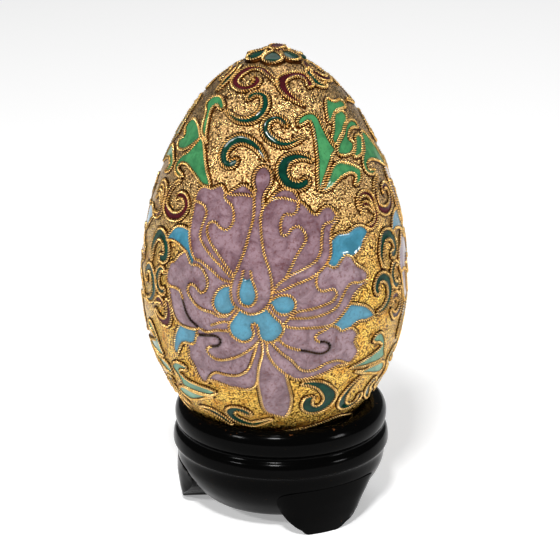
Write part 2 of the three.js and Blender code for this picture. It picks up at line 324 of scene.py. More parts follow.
@dataclass(frozen=True)
class Enamel(Finish):
    """Vitreous enamel: ground glass fired in its cell, then stoned flat and fired glossy.

    It gives the eye a wet, glassy skin with sharp lights over a colour that clouds where the
    grains were packed thick or thin, with painted shade that darkens it where it meets each wire.

    Args:
        body: Colour where the enamel lies thick.
        cloud: Colour where it lies thin.
        fleck: Colour of the stray dark grains.
        wire_shade: Colour of the painted shade against the wires.
        cloud_size: Size of the clouds, in mm.
        fleck_size: Size of the stray grains, in mm.
        fleck_share: How far the stray grains take over, 0 to 1.
        gloss: Strength of its reflections.
        wire_shade_share: How far the painted shade takes over at the wire, 0 to 1.
        wave_size: Size of the waves in its skin, in mm.
    """

    body: str = "#808080"
    cloud: str = "#707070"
    fleck: str = "#606060"
    wire_shade: str = "#404040"
    cloud_size: float = 3.2
    fleck_size: float = 0.55
    fleck_share: float = 0.5
    gloss: float = 0.5
    wire_shade_share: float = 0.75
    wave_size: float = 1.7

    def build(self, tree: bpy.types.NodeTree) -> None:
        """Adds the enamel's nodes."""
        spot = add_node(tree, "ShaderNodeTexCoord").outputs["Object"]
        clouds = add_node(tree, "ShaderNodeTexNoise", {
            "Scale": per_metre(self.cloud_size), "Detail": 5.0, "Roughness": 0.62,
            "Distortion": 0.8,
        }, {"Vector": spot})
        base = add_node(tree, "ShaderNodeValToRGB", {
            "stops": ((0.36, self.cloud), (0.6, self.body)),
        }, {"Fac": clouds.outputs["Fac"]})
        grains = add_node(tree, "ShaderNodeTexNoise", {
            "Scale": per_metre(self.fleck_size), "Detail": 3.0, "Roughness": 0.7,
        }, {"Vector": spot})
        share = add_node(tree, "ShaderNodeMapRange", {
            "From Min": 0.5, "From Max": 0.72, "To Max": self.fleck_share,
        }, {"Value": grains.outputs["Fac"]})
        flecked = add_node(tree, "ShaderNodeMix", {
            "data_type": "RGBA", 7: linear(self.fleck),
        }, {0: share.outputs[0], 6: base.outputs["Color"]})
        # painted shade: the colour darkens towards the wires by the edge attribute
        edge = add_node(tree, "ShaderNodeAttribute", {"attribute_name": "edge"})
        depth = add_node(tree, "ShaderNodeMath", {
            "operation": "MULTIPLY", 1: self.wire_shade_share,
        }, {0: edge.outputs["Fac"]})
        colour = add_node(tree, "ShaderNodeMix", {
            "data_type": "RGBA", 7: linear(self.wire_shade),
        }, {0: depth.outputs[0], 6: flecked.outputs[2]})
        waves = add_node(tree, "ShaderNodeTexNoise", {
            "Scale": per_metre(self.wave_size), "Detail": 2.0, "Roughness": 0.4,
        }, {"Vector": spot})
        skin = add_node(tree, "ShaderNodeBump", {
            "Strength": 0.8, "Distance": 0.08 * MM,
        }, {"Height": waves.outputs["Fac"]})
        dull = add_node(tree, "ShaderNodeMapRange", {
            "From Min": 0.35, "From Max": 0.7, "To Min": 0.05, "To Max": 0.16,
        }, {"Value": clouds.outputs["Fac"]})
        shader = add_node(tree, "ShaderNodeBsdfPrincipled", {
            "IOR": 1.54, "Specular IOR Level": self.gloss,
        }, {
            "Base Color": colour.outputs[2], "Roughness": dull.outputs[0],
            "Normal": skin.outputs["Normal"],
        })
        self.output(tree, shader)


@dataclass(frozen=True)
class GiltGround(Finish):
    """Gilding over a granulated copper ground, rubbed bright on its high grains.

    It gives the eye a glittering field of small bright and dark grains, paler towards the top in a
    painted reflection of the light above, and browner beside the wires with old polish, flux and
    painted shade.

    Args:
        bright: Colour of the fresh gilding.
        deep: Colour of its duller patches.
        worn: Colour of the painted reflection of the light above, towards the top.
        patina_and_shade: Colour of the tarnish between the grains, and of the tarnish and painted
            shade beside the wires.
        grain: Size of the grains, in mm.
        patch_size: Size of the duller patches, in mm.
        sheen_heights: Heights between which the painted reflection grows, in mm.
        sheen_share: How far the painted reflection takes over above them, 0 to 1.
        stain_and_shade_share: How far the tarnish and painted shade take over at the wire, 0 to 1.
    """

    bright: str = "#FFD468"
    deep: str = "#DB9738"
    # painted reflection of the light above, laid on towards the top
    worn: str = "#F2C98F"
    patina_and_shade: str = "#4E2A0A"
    grain: float = 0.31
    patch_size: float = 2.6
    sheen_heights: Place = (48.0, 66.0)
    sheen_share: float = 0.75
    stain_and_shade_share: float = 0.75

    def build(self, tree: bpy.types.NodeTree) -> None:
        """Adds the ground's nodes."""
        spot = add_node(tree, "ShaderNodeTexCoord").outputs["Object"]
        grains = add_node(tree, "ShaderNodeTexVoronoi", {
            "feature": "SMOOTH_F1", "Scale": per_metre(self.grain), "Smoothness": 0.4,
        }, {"Vector": spot})
        patches = add_node(tree, "ShaderNodeTexNoise", {
            "Scale": per_metre(self.patch_size), "Detail": 6.0, "Roughness": 0.72,
        }, {"Vector": spot})
        tone = add_node(tree, "ShaderNodeValToRGB", {
            "stops": ((0.34, self.deep), (0.56, self.bright)),
        }, {"Fac": patches.outputs["Fac"]})
        height = add_node(tree, "ShaderNodeSeparateXYZ", links={"Vector": spot})
        # painted reflection: the colour turns paler with height
        low, high = self.sheen_heights
        top_sheen = add_node(tree, "ShaderNodeMapRange", {
            "From Min": low * MM, "From Max": high * MM, "To Max": self.sheen_share,
        }, {"Value": height.outputs["Z"]})
        rubbed = add_node(tree, "ShaderNodeMix", {
            "data_type": "RGBA", 7: linear(self.worn),
        }, {0: top_sheen.outputs[0], 6: tone.outputs["Color"]})
        pits = add_node(tree, "ShaderNodeMapRange", {
            "From Min": 0.38, "From Max": 0.74,
        }, {"Value": grains.outputs["Distance"]})
        near = add_node(tree, "ShaderNodeAttribute", {"attribute_name": "edge"})
        # tarnish between the grains, with tarnish and painted shade beside the wires
        patina_and_shade_mask = add_node(tree, "ShaderNodeMath", {
            "operation": "MULTIPLY_ADD", 1: self.stain_and_shade_share, "use_clamp": True,
        }, {0: near.outputs["Fac"], 2: pits.outputs[0]})
        colour = add_node(tree, "ShaderNodeMix", {
            "data_type": "RGBA", 7: linear(self.patina_and_shade),
        }, {0: patina_and_shade_mask.outputs[0], 6: rubbed.outputs[2]})
        relief = add_node(tree, "ShaderNodeMath", {
            "operation": "MULTIPLY_ADD", 1: -0.6,
        }, {0: grains.outputs["Distance"], 2: patches.outputs["Fac"]})
        skin = add_node(tree, "ShaderNodeBump", {
            "Strength": 1.0, "Distance": 0.3 * MM,
        }, {"Height": relief.outputs[0]})
        dull = add_node(tree, "ShaderNodeMapRange", {
            "From Min": 0.3, "From Max": 0.7, "To Min": 0.36, "To Max": 0.16,
        }, {"Value": patches.outputs["Fac"]})
        shader = add_node(tree, "ShaderNodeBsdfPrincipled", {"Metallic": 1.0}, {
            "Base Color": colour.outputs[2], "Roughness": dull.outputs[0],
            "Normal": skin.outputs["Normal"],
        })
        self.output(tree, shader)


@dataclass(frozen=True)
class Metal(Finish):
    """Drawn wire, solder or spun sheet metal, gilt or bare.

    It gives the eye a soft metallic light that breaks up where handling has dulled it.

    Args:
        body: Colour of the metal.
        dull: Colour of its duller patches.
        groove_shade: Colour of the painted shade between twisted strands.
        roughness: Its middle roughness.
        patch: Size of the duller patches, in mm.
    """

    body: str = "#F2CB84"
    dull: str = "#CF9A4C"
    groove_shade: str = "#3B1B04"
    roughness: float = 0.25
    patch: float = 1.1

    def build(self, tree: bpy.types.NodeTree) -> None:
        """Adds the metal's nodes."""
        spot = add_node(tree, "ShaderNodeTexCoord").outputs["Object"]
        patches = add_node(tree, "ShaderNodeTexNoise", {
            "Scale": per_metre(self.patch), "Detail": 3.0, "Roughness": 0.6,
        }, {"Vector": spot})
        tone = add_node(tree, "ShaderNodeValToRGB", {
            "stops": ((0.36, self.dull), (0.58, self.body)),
        }, {"Fac": patches.outputs["Fac"]})
        haze = add_node(tree, "ShaderNodeMapRange", {
            "To Min": self.roughness + 0.12, "To Max": self.roughness - 0.08,
        }, {"Value": patches.outputs["Fac"]})
        # painted shade in the grooves between the strands
        groove_shade = add_node(tree, "ShaderNodeAttribute", {"attribute_name": "edge"})
        colour = add_node(tree, "ShaderNodeMix", {
            "data_type": "RGBA", 7: linear(self.groove_shade),
        }, {0: groove_shade.outputs["Fac"], 6: tone.outputs["Color"]})
        shader = add_node(tree, "ShaderNodeBsdfPrincipled", {"Metallic": 1.0}, {
            "Base Color": colour.outputs[2], "Roughness": haze.outputs[0],
        })
        self.output(tree, shader)


@dataclass(frozen=True)
class Lacquer(Finish):
    """Black lacquer brushed over turned wood and rubbed to a high gloss.

    It gives the eye deep black with narrow sharp lights, a faint unevenness from the brush,
    and a few brown specks on the high edges where the film is chipped.

    Args:
        film: Colour of the lacquer.
        wood: Colour of the wood under its chips.
        chip_size: Size of the chips, in mm.
        brush_size: Size of the unevenness, in mm.
    """

    film: str = "#030303"
    wood: str = "#5A3318"
    chip_size: float = 1.3
    brush_size: float = 3.5

    def build(self, tree: bpy.types.NodeTree) -> None:
        """Adds the lacquer's nodes."""
        spot = add_node(tree, "ShaderNodeTexCoord").outputs["Object"]
        chips = add_node(tree, "ShaderNodeTexNoise", {
            "Scale": per_metre(self.chip_size), "Detail": 4.0, "Roughness": 0.75,
        }, {"Vector": spot})
        worn = add_node(tree, "ShaderNodeAttribute", {"attribute_name": "edge"})
        height = add_node(tree, "ShaderNodeMath", {
            "operation": "MULTIPLY_ADD", 1: 0.1,
        }, {0: worn.outputs["Fac"], 2: chips.outputs["Fac"]})
        bare = add_node(tree, "ShaderNodeMapRange", {
            "From Min": 0.715, "From Max": 0.73,
        }, {"Value": height.outputs[0]})
        colour = add_node(tree, "ShaderNodeMix", {
            "data_type": "RGBA", 6: linear(self.film), 7: linear(self.wood),
        }, {0: bare.outputs[0]})
        brushing = add_node(tree, "ShaderNodeTexNoise", {
            "Scale": per_metre(self.brush_size), "Detail": 3.0, "Roughness": 0.5,
        }, {"Vector": spot})
        skin = add_node(tree, "ShaderNodeBump", {
            "Strength": 0.35, "Distance": 0.12 * MM,
        }, {"Height": brushing.outputs["Fac"]})
        dull = add_node(tree, "ShaderNodeMapRange", {
            "To Min": 0.13, "To Max": 0.55,
        }, {"Value": bare.outputs[0]})
        shader = add_node(tree, "ShaderNodeBsdfPrincipled", {
            "IOR": 1.5, "Specular IOR Level": 0.035,
        }, {
            "Base Color": colour.outputs[2], "Roughness": dull.outputs[0],
            "Normal": skin.outputs["Normal"],
        })
        self.output(tree, shader)


@dataclass(frozen=True)
class StagePaper(Finish):
    """Pale seamless paper, lit so brightly that it reads as white.

    Args:
        tone: Colour of the paper.
        glow: Strength of the light that it gives back of its own.
    """

    tone: str = "#F4F4F4"
    glow: float = 0.36

    def build(self, tree: bpy.types.NodeTree) -> None:
        """Adds the paper's nodes."""
        shader = add_node(tree, "ShaderNodeBsdfPrincipled", {
            "Base Color": linear(self.tone), "Roughness": 0.9,
            "Emission Color": linear(self.tone), "Emission Strength": self.glow,
        })
        self.output(tree, shader)


# each enamel's fourth colour is the painted shade against its wires
LILAC = Enamel("lilac_cloisonne_enamel", "#8C727A", "#644A51", "#5A2E2A", "#3A232A", 3.4, 0.6, 0.8)
TURQUOISE = Enamel("turquoise_cloisonne_enamel", "#40849C", "#346E82", "#28586A", "#18404E")
LEAF_GREEN = Enamel("leaf_green_cloisonne_enamel", "#438A55", "#2E6B42", "#235636", "#123A24")
SEA_GREEN = Enamel("sea_green_cloisonne_enamel", "#5E9674", "#447054", "#366048", "#1D4430")
BOTTLE_GREEN = Enamel(
    "bottle_green_cloisonne_enamel", "#0B3F30", "#072C22", "#06221A", "#04130E", gloss=0.1)
MAROON = Enamel(
    "maroon_cloisonne_enamel", "#551B22", "#3A1015", "#2C0C10", "#180608", gloss=0.12)
GILT_GROUND = GiltGround("gilded_granulated_ground")
GILT_WIRE = Metal("gilt_twisted_wire")
# the seam under the wires: real solder, made dark also as painted shade along the wires
SOLDER_WITH_SHADE = Metal("solder_with_painted_shade", "#3E2008", "#1F0E03", "#1F0E03", 0.5)
WORN_WIRE = Metal("worn_blackened_wire", "#4A4038", "#1C1613", "#0C0806", 0.4)
COPPER = Metal("spun_copper", "#B56B3C", "#8A4A26", "#8A4A26", 0.32, 4.0)
BLACK_LACQUER = Lacquer("black_lacquered_wood")
STAGE_PAPER = StagePaper("pale_stage_paper")


# ---- the pattern of the egg ------------------------------------------------------------------

# The wires of one flower, each through the places that its middle passes.
FLOWER_WIRES: dict[str, Outline] = {
    "bulb": (
        (-9.3, 27), (-9.1, 23.5), (-9.2, 20.6), (-10.9, 16), (-12.5, 11.8), (-15.1, 7.3),
        (-17.2, 3.6), (-17.8, 0.4), (-16.4, -2.7), (-12.2, -4.7), (-8.6, -5.2), (-4.6, -4.2),
        (-1.4, -1.7), (-0.4, 1.4), (-1.2, 6.3), (-3.9, 11.5), (-5.3, 17), (-5.7, 20.9),
        (-4.6, 23.6), (-0.8, 25.9), (4.7, 26.4), (9.6, 25.6), (14.5, 24.6), (18.4, 21.8),
        (20.8, 21.2), (24, 22.8), (27.5, 23), (30.7, 20.6)),
    "upper_right_underside": (
        (30.7, 20.6), (28.5, 18.9), (23.6, 18.2), (22, 15.4), (21, 11.5), (19, 9.2),
        (13.2, 7.1), (6.4, 5.2), (1.5, 2.7), (-0.3, 0.8)),
    "upper_right_rim": (
        (-0.3, 0.9), (3.4, 1.4), (9.6, 3.1), (16.1, 4.5), (21.9, 7), (25.2, 9.8), (26, 13.8),
        (27.3, 16.9), (31.7, 19.6)),
    "upper_right_curl": (
        (5.4, 5), (8, 8.2), (9.9, 10.5), (12.5, 12.8), (14.7, 15), (13.9, 17), (11.5, 18.5),
        (8.6, 18), (6.2, 16.4), (4.2, 16.3), (3.4, 17.8), (4, 20.6), (5.7, 21.9), (9, 21.7),
        (11.2, 22.8), (12.2, 25.2)),
    "upper_left_curl": (
        (-16.6, 5), (-19.4, 6.9), (-24.2, 10.2), (-28.8, 13.4), (-31, 16.2), (-30.4, 18.2),
        (-27.6, 18.7), (-24.6, 17.5), (-21.6, 17), (-19, 18.6), (-18.4, 20.8), (-19.8, 23.6),
        (-22.4, 24.8), (-24, 25.6), (-24.3, 27.2)),
    "upper_left_arch": ((-24.2, 27.2), (-20.3, 26.8), (-15, 27.1), (-9.4, 26.8)),
    "upper_left_fold": (
        (-17.8, 4.4), (-21, 6.4), (-26.8, 9.2), (-31.4, 11.8), (-34.2, 14.2), (-33.8, 17.3),
        (-32.6, 20.6), (-34, 22.4), (-37, 23.1), (-40.5, 23.3)),
    "upper_left_rim": (
        (-17.6, 3.2), (-21.6, 3.7), (-27.5, 6), (-32.7, 7.6), (-35.8, 8), (-38.4, 10.4),
        (-40.3, 14.4), (-40.6, 20.3), (-40.5, 26.1), (-37.5, 27.7), (-32, 27.7), (-27, 29),
        (-24.2, 27.2)),
    "side_left_top": (
        (-51.4, 2.2), (-49.6, 5), (-47.5, 5.6), (-45, 7.6), (-41.1, 9.2), (-39.2, 7.9),
        (-37.4, 6.3), (-33, 6.3), (-30, 4.6), (-28.4, 2), (-29.3, -0.1), (-31.4, -0.9),
        (-34.6, 0.6), (-37.2, 0.7), (-38.2, -1.2), (-35.6, -3.6), (-31.4, -5.4),
        (-25.5, -6), (-22.9, -6.7), (-18.6, -6.2)),
    "side_left_fold": (
        (-51.4, 2.2), (-51.6, 0.4), (-50, -1.4), (-45, -1.5), (-42.5, -2), (-40.6, -4.6),
        (-38.5, -8), (-36.2, -9.6), (-32, -11.2), (-28.6, -11.9), (-23.9, -10.9),
        (-18.6, -10.6)),
    "side_left_rim": (
        (-50, -1.4), (-48.8, -4.5), (-47.2, -8), (-44.6, -10.8), (-42, -11.7), (-38, -12),
        (-34.5, -11.9), (-32.2, -11.3)),
    "side_left_vein": ((-26.5, -9.6), (-24, -8.9), (-20, -8), (-18.3, -8.2)),
    "left_bead": (
        (-17.8, 2.2), (-20, 2.1), (-23, 0.9), (-25, -1.2), (-25.6, -3.4), (-24.2, -5.2),
        (-21.5, -6.1), (-18, -5.6), (-15.6, -3.9)),
    "drop": (
        (-12.5, 6.8), (-13, 4.8), (-14.3, 1.8), (-14.4, -0.6), (-13, -2.5), (-10.6, -3.1),
        (-8.3, -2.5), (-6.8, -0.4), (-7.3, 1.8), (-8.9, 4.6), (-9.4, 6.8)),
    "heart": (
        (-14.3, -4.4), (-17, -7), (-18.5, -9), (-17.6, -11.5), (-14.2, -13.2),
        (-11.2, -13.3), (-8.8, -12.2), (-8, -10.4), (-8.8, -8.5), (-7.7, -7.8), (-6.3, -9),
        (-5.9, -11.2), (-4.4, -12.7), (-0.8, -13.2), (2.2, -12), (4.3, -9.6), (3.4, -7.7),
        (0.9, -6), (-1.4, -4.2), (-2.6, -3.2)),
    "right_bead": (
        (-0.9, -1.2), (1.5, -0.1), (5, 0.2), (7.6, -0.3), (9.2, -2), (8.8, -3.8), (6.6, -5),
        (3.4, -5.2), (0.7, -4.2), (-0.7, -2.4)),
    "side_right_curl": (
        (4.2, -8.2), (6.4, -6.4), (9.6, -4.7), (16.1, -4.1), (21.9, -3.3), (25.6, -2.4),
        (27.2, -0.8), (25.8, 0.6), (21, 0.5), (19, 1.2), (18.1, 3.2), (18.8, 5.4)),
    "side_right_fold": (
        (7, -6.3), (15.8, -6.5), (21.9, -5.9), (27.1, -4.4), (30.1, -1.5), (32.3, 0.5),
        (34.9, 1.4), (38, 1), (43.2, 1.2)),
    "side_right_low": (
        (4.2, -8.4), (8, -9.1), (11.2, -9.3), (24.2, -9.4), (27.8, -8), (32.3, -5.1),
        (36, -1.9), (40, -0.2), (42, 0.2), (43.2, 1.2)),
    "side_right_top": (
        (23.2, 7.9), (25.2, 6.7), (27.4, 6.5), (29.8, 7.9), (32.6, 9.2), (35.6, 8.4),
        (37.6, 6.2), (41.5, 4.4), (43.4, 3), (43.2, 1.2)),
    "lower_right_curl": (
        (24.2, -9.4), (22.6, -10.3), (18.6, -11.5), (17.5, -12.6), (19, -13.8),
        (22, -14.1), (24.2, -15.4), (23.7, -16.9), (20.6, -17.7), (14.5, -16.5),
        (9.3, -15.6), (4.7, -14.1), (2.1, -12.2)),
    "lower_right_rim": (
        (24.2, -9.4), (27.3, -10.4), (29.6, -11.7), (32.6, -11.4), (35, -11.6),
        (37.6, -13.8), (36.4, -15.7), (37.5, -17.3), (38.9, -19.2), (37.8, -21.2),
        (34.8, -22.8), (31, -22.8)),
    "lower_right_fold": (
        (-0.8, -13.3), (2.5, -16), (8, -19.3), (12.2, -22.5), (17.7, -23), (23.2, -21.2),
        (28.8, -20.9), (33, -22.3), (35.4, -22.7)),
    "lower_right_low": (
        (-2.8, -13.2), (-2.1, -17.3), (1.5, -21.2), (5.7, -23.8), (10.3, -25.8),
        (17.1, -25.5), (24.2, -24.2), (29.1, -22.7), (31.2, -22.8)),
    "bottom_petal": (
        (5.4, -23.8), (6.9, -28), (8.3, -32), (8.5, -36), (7.4, -39.8), (5.8, -41.4),
        (1.5, -40.7), (-3.1, -39.4), (-5, -37.4), (-6.2, -32.2), (-7, -26.6), (-6.2, -21.4),
        (-4.5, -16.4), (-4.7, -12.8)),
    "lower_left_curl": (
        (-5.8, -12.8), (-8.6, -15), (-12.9, -17.3), (-18.1, -19.1), (-24.2, -20.1),
        (-28, -19), (-29.2, -17.2), (-27, -16.2), (-23.4, -15.4), (-22.4, -13.8),
        (-24.4, -12.7), (-30.1, -13.1), (-33.6, -13.4)),
    "lower_left_fold": (
        (-6.6, -13.6), (-8.6, -18.2), (-11, -22.3), (-15.1, -24.5), (-20.5, -25),
        (-26, -24.7), (-29.4, -26.4), (-31.9, -29.5)),
    "lower_left_low": (
        (-6.9, -25.8), (-8.6, -28.3), (-11.8, -29.5), (-19.7, -29.2), (-26.8, -28.1),
        (-30.6, -28.2)),
    "lower_left_rim": (
        (-31.9, -29.5), (-34.4, -29.2), (-36.4, -26.5), (-37.9, -23.2), (-39.5, -21.6),
        (-39.2, -18.6), (-40.4, -17)),
    "bud": (
        (-9.3, 26.8), (-9.1, 28.6), (-10.2, 30.6), (-9.9, 33.2), (-7.4, 35.2), (-3.6, 35.4),
        (-0.9, 33.4), (-1.1, 30.4), (-3.2, 28.5), (-4.6, 26.6), (-4.8, 24)),
    "left_crescent": ((-22.4, 27), (-19.8, 28.4), (-16, 29.8), (-12.4, 29.2), (-9.4, 27.6)),
    "right_crescent": ((-2.4, 25.3), (1.6, 28), (6, 29), (10, 28.3), (13.2, 25.2)),
    "upper_right_leaf": (
        (26, 13.9), (30, 15.4), (34.6, 15.2), (40, 16.3), (43.8, 16), (46.9, 14),
        (44, 12.2), (41.4, 10), (38.2, 8.6), (35.8, 8.5)),
    "lower_right_leaf": (
        (33.6, -4.2), (38, -5.1), (42.6, -6.4), (46.8, -9.7), (42, -10.2), (38, -9.9),
        (34, -11.2)),
    "upper_left_leaf": (
        (-40.4, 15.2), (-45, 15.6), (-50, 14.8), (-53, 12.6), (-54.4, 10.6), (-50, 11),
        (-45, 10.4), (-40.8, 9.3)),
    "lower_left_leaf": (
        (-43.2, -11.9), (-46.6, -15.6), (-48.7, -20.6), (-47.4, -22.2), (-45.2, -20),
        (-42.6, -17.6), (-40.4, -16.9), (-36, -16.6), (-34.4, -14.4), (-33.6, -12.2)),
}

# Where the enamel changes colour inside the flower with no wire between.
COLOUR_BREAKS: tuple[Outline, ...] = (
    ((-13.2, 5.2), (-11.2, 4.2), (-8.7, 4.9)),
    ((-36.2, 8.6), (-36.5, 5.7)),
)

# Stretches of the front flower's wires that are worn down to blackened metal, as shares of
# the wire's length.
WORN_STRETCHES: dict[str, Place] = {
    "side_left_fold": (0.38, 0.7),
    "lower_left_curl": (0.64, 0.97),
    "lower_right_curl": (0.27, 0.74),
}

# A place in each field of the flower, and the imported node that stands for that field.
LILAC_FIELDS: dict[str, Place] = {
    "petal_centre": (-11, 10),
    "petal_upper_right": (12, 14),
    "petal_upper_left": (-26, 16),
    "petal_side_left": (-38, 2),
    "petal_side_right": (22, -1),
    "petal_lower_right": (25, -16),
    "petal_lower_left": (-22, -19),
    "petal_bottom": (1, -32),
}
BLUE_FIELDS: dict[str, tuple[Place, ...]] = {
    "blue_centre": ((-10.5, 0.5), (-14, -9), (-21, -2), (4, -2.5)),
    "blue_leaf_upper_right": ((38, 12.5),),
    "blue_leaf_lower_right": ((40, -8),),
    "blue_leaf_upper_left": ((-47, 12.8),),
    "blue_leaf_lower_left": ((-41, -14.5),),
}


class Tint(Enum):
    """The colours of the leaves and scrolls around the flowers."""

    GREEN = (LEAF_GREEN, Slot.GREEN)
    SEA = (SEA_GREEN, Slot.SEA_GREEN)
    BOTTLE = (BOTTLE_GREEN, Slot.GREEN)
    MAROON = (MAROON, Slot.LILAC)


@dataclass(frozen=True)
class Leaf:
    """A leaf of one enamel inside a closed wire.

    Args:
        name: The leaf's name.
        tint: Its enamel.
        node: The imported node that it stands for, or an empty name.
        outline: Places that the middle of its wire passes.
        repeats: The repeats of the pattern that have it.
    """

    name: str
    tint: Tint
    node: str
    outline: Outline
    repeats: tuple[int, ...] = REPEATS


LEAVES: tuple[Leaf, ...] = (
    Leaf("big_left", Tint.GREEN, "green_leaf_left", (
        (-33.6, 28.3), (-38, 32.5), (-42, 36.3), (-45, 39), (-48, 41), (-50.5, 41.3),
        (-54, 38.6), (-57.5, 35.7), (-61, 34.5), (-64, 32), (-63.5, 29.8), (-60, 28.5),
        (-55, 28.4), (-54, 28.9), (-57, 29.6), (-60.5, 30.2), (-60, 31.8), (-55, 32.4),
        (-50, 31.6), (-44, 30), (-39, 28.3), (-36, 28))),
    Leaf("upper_left", Tint.GREEN, "", (
        (-64, 55.5), (-60, 56.6), (-55, 57.2), (-50, 56.7), (-45.5, 55.3), (-42.8, 53.9),
        (-43, 52.7), (-46, 52.5), (-50, 53.5), (-53.5, 53.3), (-54.3, 51.5), (-52, 48.5),
        (-49, 45), (-46, 41.8), (-43.3, 40.2), (-48, 41.9), (-52, 43.3), (-55, 45.8),
        (-57.5, 49), (-60, 50.6), (-64, 52), (-65.5, 53.5)), (1,)),
    Leaf("outer_left", Tint.GREEN, "", (
        (-51.6, 41.4), (-54, 39.6), (-58, 37.4), (-62, 36), (-66, 35.4), (-70, 35.4),
        (-73, 36.4), (-74, 38), (-71.5, 38.6), (-69.4, 39.6), (-71, 40.8), (-74, 41.8),
        (-74.5, 43.8), (-72, 45.4), (-68, 46), (-63, 45.6), (-59, 44.8), (-55, 43.4)), (1,)),
    Leaf("tall_right", Tint.GREEN, "green_leaf_right", (
        (23.4, 27.6), (23.8, 32), (25.5, 37), (26.6, 42), (27.4, 46.5), (26.6, 49.3),
        (24, 49.2), (21, 48.5), (18.5, 48.2), (17, 48.7), (17.4, 50.2), (20, 51.4),
        (25, 52.4), (31, 52.2), (34, 50.6), (35.3, 46.5), (37.2, 41.5), (39, 38.8),
        (36, 37.3), (32.5, 34.8), (28.5, 31.6))),
    Leaf("low_right", Tint.GREEN, "", (
        (25.5, 27.3), (28, 29.4), (31, 31.8), (34, 33.8), (38, 34.8), (44, 34), (49, 32.6),
        (52.6, 30.8), (51, 28.6), (48, 27.4), (45, 27.2), (46.8, 28.6), (47.6, 29.8),
        (45, 30.9), (40, 30.8), (35, 29.6), (30, 28))),
    Leaf("middle_right", Tint.GREEN, "", (
        (39.8, 37.4), (42, 40), (46, 41.6), (50, 43), (55, 45.2), (60, 46.2), (65, 46.2),
        (69, 44.6), (68, 43), (62, 43.6), (57, 43.2), (53.4, 41.8), (52.6, 40.8), (55, 39.2),
        (53, 37.4), (49, 36.4), (44, 36.3)), (1, 2)),
    Leaf("outer_right", Tint.GREEN, "", (
        (50.6, 35.3), (54, 37), (57, 39), (60, 40.8), (64, 41), (66, 39.4), (63, 37.4),
        (60, 35.6), (55, 34.8)), (1, 2)),
    Leaf("upper_right", Tint.GREEN, "", (
        (39.6, 40.3), (38.6, 42), (41, 43.8), (44, 46), (46.4, 48.2), (50, 50), (55, 50.5),
        (60, 50.2), (62, 48.6), (60, 47), (55, 45.7), (50, 43.7), (45, 41.9), (42, 40.7)),
        (1, 2)),
    Leaf("top_right", Tint.GREEN, "", (
        (41.6, 47.6), (42.6, 50.4), (45, 53), (49, 55.8), (52, 56.4), (55.5, 54.8), (60, 54.2),
        (66, 54.2), (70, 52.6), (68.6, 51), (64, 50.8), (57, 51.1), (51, 50.6), (46, 48.8)),
        (1, 2)),
    Leaf("sea_right_top", Tint.SEA, "sea_leaf_right", (
        (47.5, -17.5), (50, -16), (53, -16), (56, -18), (57.6, -20.4), (58.4, -22.4),
        (60, -25.2), (55, -26), (50, -25.8), (45, -25.6), (40, -25.2), (36, -24.6),
        (40, -24), (45, -23.2), (50, -22.2), (54, -21.4), (55, -20.5), (52, -19),
        (50, -18.7))),
    Leaf("sea_right_low", Tint.SEA, "", (
        (39, -26.3), (45, -27.2), (50, -26.9), (55, -26.9), (60, -27.3), (63.2, -28.8),
        (63.6, -30.6), (61, -31.5), (55, -30.5), (50, -29.3), (45, -28.2))),
    Leaf("sea_left_top", Tint.SEA, "sea_leaf_left", (
        (-43, -25.7), (-47, -25), (-51, -25.5), (-54, -27.6), (-52, -29.8), (-50.5, -31.5),
        (-50, -34), (-45, -34.6), (-38, -34.7), (-32, -34.4), (-28, -32.7), (-32, -31.8),
        (-38, -31.4), (-44, -30.9), (-47.4, -29.8), (-49, -28.5), (-47, -27.3),
        (-43, -26.8))),
    Leaf("sea_left_low", Tint.SEA, "", (
        (-30.5, -34.9), (-36, -36.3), (-42, -38.2), (-48, -39.6), (-53, -39.2),
        (-56.5, -37.2), (-54, -35.4), (-50, -34.8), (-44, -35.3), (-37, -35.2))),
)


@dataclass(frozen=True)
class Scroll:
    """A curling channel of enamel between two wires.

    Args:
        tint: Its enamel.
        half_width: Half the width between its wires where it is widest, in mm.
        path: Places along its middle, from the thin tail to the round head.
        repeats: The repeats of the pattern that have it.
    """

    tint: Tint
    half_width: float
    path: Outline
    repeats: tuple[int, ...] = REPEATS


